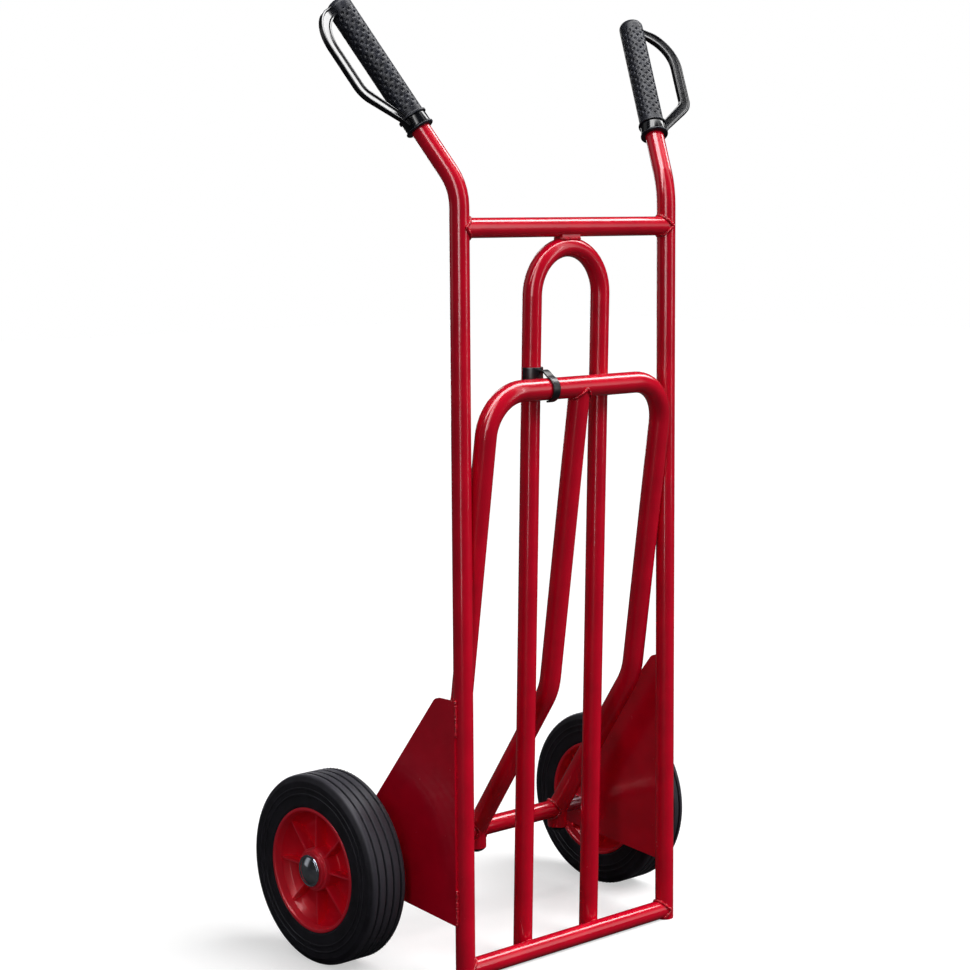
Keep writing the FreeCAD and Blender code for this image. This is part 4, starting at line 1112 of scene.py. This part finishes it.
def pale_floor():
    """Matt white paper, lit from below so that it stays pale; it throws little light back."""
    material, tree, shader, place = new_material("white_paper", {
        "Roughness": 0.9, "Specular IOR Level": 0.0, "Emission Strength": 0.5,
        "Emission Color": (1, 1, 1, 1)})
    tint(tree, shader, grain(tree, place, 400).outputs["Fac"], "#c4c4c4", "#cacaca")
    grey = add_node(tree, "ShaderNodeBsdfDiffuse", {"Color": srgb("#3a3a3a")})
    rays = add_node(tree, "ShaderNodeLightPath")
    mix = add_node(tree, "ShaderNodeMixShader", links={
        0: rays.outputs["Is Camera Ray"], 1: grey.outputs[0], 2: shader.outputs[0]})
    output = next(node for node in tree.nodes if node.type == "OUTPUT_MATERIAL")
    tree.links.new(mix.outputs[0], output.inputs["Surface"])
    return material


# Bright sheets that only reflections see: the axes that count, the way they face, where the
# sheet begins and is full, and its strength. The first runs over the truck, the rest stand.
SHEETS = (((0, 1, 1), (0, -0.14, 0.99), 0.968, 0.992, 12.0),
          ((1, 1, 0), (-0.73, -0.68, 0), 0.972, 0.995, 5.0),
          ((1, 1, 0), (0.62, -0.78, 0), 0.972, 0.996, 1.8),
          ((1, 1, 0), (-0.62, 0.78, 0), 0.95, 0.995, 0.45))


def studio_world():
    """A white room to the camera, dim light to rough surfaces, bright sheets to glossy ones."""
    world = bpy.data.worlds.new("studio")
    world.use_nodes = True
    tree = world.node_tree
    tree.nodes.clear()
    way = add_node(tree, "ShaderNodeTexCoord").outputs["Generated"]
    height = add_node(tree, "ShaderNodeSeparateXYZ", links={"Vector": way}).outputs["Z"]
    overhead = add_node(tree, "ShaderNodeMapRange", {"From Min": 0.32, "From Max": 0.5},
                        {"Value": height}).outputs["Result"]
    total = None
    for kept, facing, first, last, power in SHEETS:
        flat = vector_step(tree, "MULTIPLY", way, kept)
        unit = vector_step(tree, "NORMALIZE", flat.outputs[0])
        lean = vector_step(tree, "DOT_PRODUCT", unit.outputs[0], facing)
        sheet = add_node(tree, "ShaderNodeMapRange", {
            "interpolation_type": "SMOOTHSTEP", "From Min": first, "From Max": last,
            "To Min": 0.01, "To Max": power}, {"Value": lean.outputs["Value"]}).outputs[0]
        if not kept[0]:
            sheet = maths(tree, "MULTIPLY", sheet, overhead)
        total = sheet if total is None else maths(tree, "ADD", total, sheet)
    room, soft, bright = (add_node(tree, "ShaderNodeBackground",
                                   {"Color": (1, 1, 1, 1), "Strength": strength})
                          for strength in (1.0, 0.24, 1.0))
    tree.links.new(total, bright.inputs["Strength"])
    rays = add_node(tree, "ShaderNodeLightPath")
    hidden = add_node(tree, "ShaderNodeMixShader", links={
        0: rays.outputs["Is Glossy Ray"], 1: soft.outputs[0], 2: bright.outputs[0]})
    mix = add_node(tree, "ShaderNodeMixShader", links={
        0: rays.outputs["Is Camera Ray"], 1: hidden.outputs[0], 2: room.outputs[0]})
    add_node(tree, "ShaderNodeOutputWorld", links={"Surface": mix.outputs[0]})
    return world


class TRUCK_OT_stage(bpy.types.Operator):
    """Makes the pale floor, the soft lights and the camera"""
    bl_idname = "truck.stage"
    bl_label = "Stage"

    def execute(self, context):
        settings = context.scene.truck_stage
        if settings.show_floor:
            mesh = bpy.data.meshes.new("floor")
            reach = 14
            mesh.from_pydata([(-reach, -reach, 0), (reach, -reach, 0), (reach, reach, 0),
                              (-reach, reach, 0)], [], [(0, 1, 2, 3)])
            mesh.materials.append(pale_floor())
            floor = bpy.data.objects.new("floor", mesh)
            context.scene.collection.objects.link(floor)
        aim = (0, 0, 0.6)
        add_overhead(settings.overhead)
        add_light("key_strip", (-1.9, -1.45, 1.25), aim, 0.17, 2.5, settings.key_power)
        add_light("fill_strip", (1.5, -2.2, 1.2), aim, 0.1, 2.0, settings.fill_power)
        add_light("top_strip", (0, -0.1, 2.7), (0, -0.1, 0), 2.4, 0.3, 8)
        add_light("back_strip", (0.9, 2.2, 1.4), aim, 0.3, 2.0, 7)
        context.scene.world = studio_world()
        context.scene.view_settings.view_transform = "Standard"
        add_camera(settings)
        return {"FINISHED"}


# ------------------------------------------------------------------ panel and running

class TRUCK_PT_panel(bpy.types.Panel):
    """Lists the truck's makers and their settings"""
    bl_idname = "TRUCK_PT_panel"
    bl_label = "Hand Truck"
    bl_space_type = "VIEW_3D"
    bl_region_type = "UI"
    bl_category = "Hand Truck"

    def draw(self, context):
        for operator, name in MAKERS:
            box = self.layout.box()
            box.operator(operator.bl_idname)
            group = getattr(context.scene, name, None)
            for key in getattr(group, "__annotations__", {}):
                box.prop(group, key)


MAKERS = ((TRUCK_OT_frame, "truck_paint"), (TRUCK_OT_grips, "truck_grips"),
          (TRUCK_OT_wheels, "truck_wheels"), (TRUCK_OT_toe, "truck_toe"),
          (TRUCK_OT_stage, "truck_stage"))
GROUPS = (("truck_paint", PaintSettings), ("truck_grips", GripSettings),
          ("truck_wheels", WheelSettings), ("truck_stage", StageSettings))


def register():
    for name, group in GROUPS:
        bpy.utils.register_class(group)
        setattr(bpy.types.Scene, name, PointerProperty(type=group))
    for operator, _ in MAKERS:
        bpy.utils.register_class(operator)
    bpy.utils.register_class(TRUCK_PT_panel)


def unregister():
    bpy.utils.unregister_class(TRUCK_PT_panel)
    for operator, _ in reversed(MAKERS):
        bpy.utils.unregister_class(operator)
    for name, group in reversed(GROUPS):
        delattr(bpy.types.Scene, name)
        bpy.utils.unregister_class(group)


def main():
    """Builds everything."""
    register()
    bpy.ops.truck.frame()
    bpy.ops.truck.grips()
    bpy.ops.truck.wheels()
    bpy.ops.truck.toe()
    bpy.ops.truck.stage()
    bpy.context.view_layer.update()


if __name__ == "__main__":
    main()
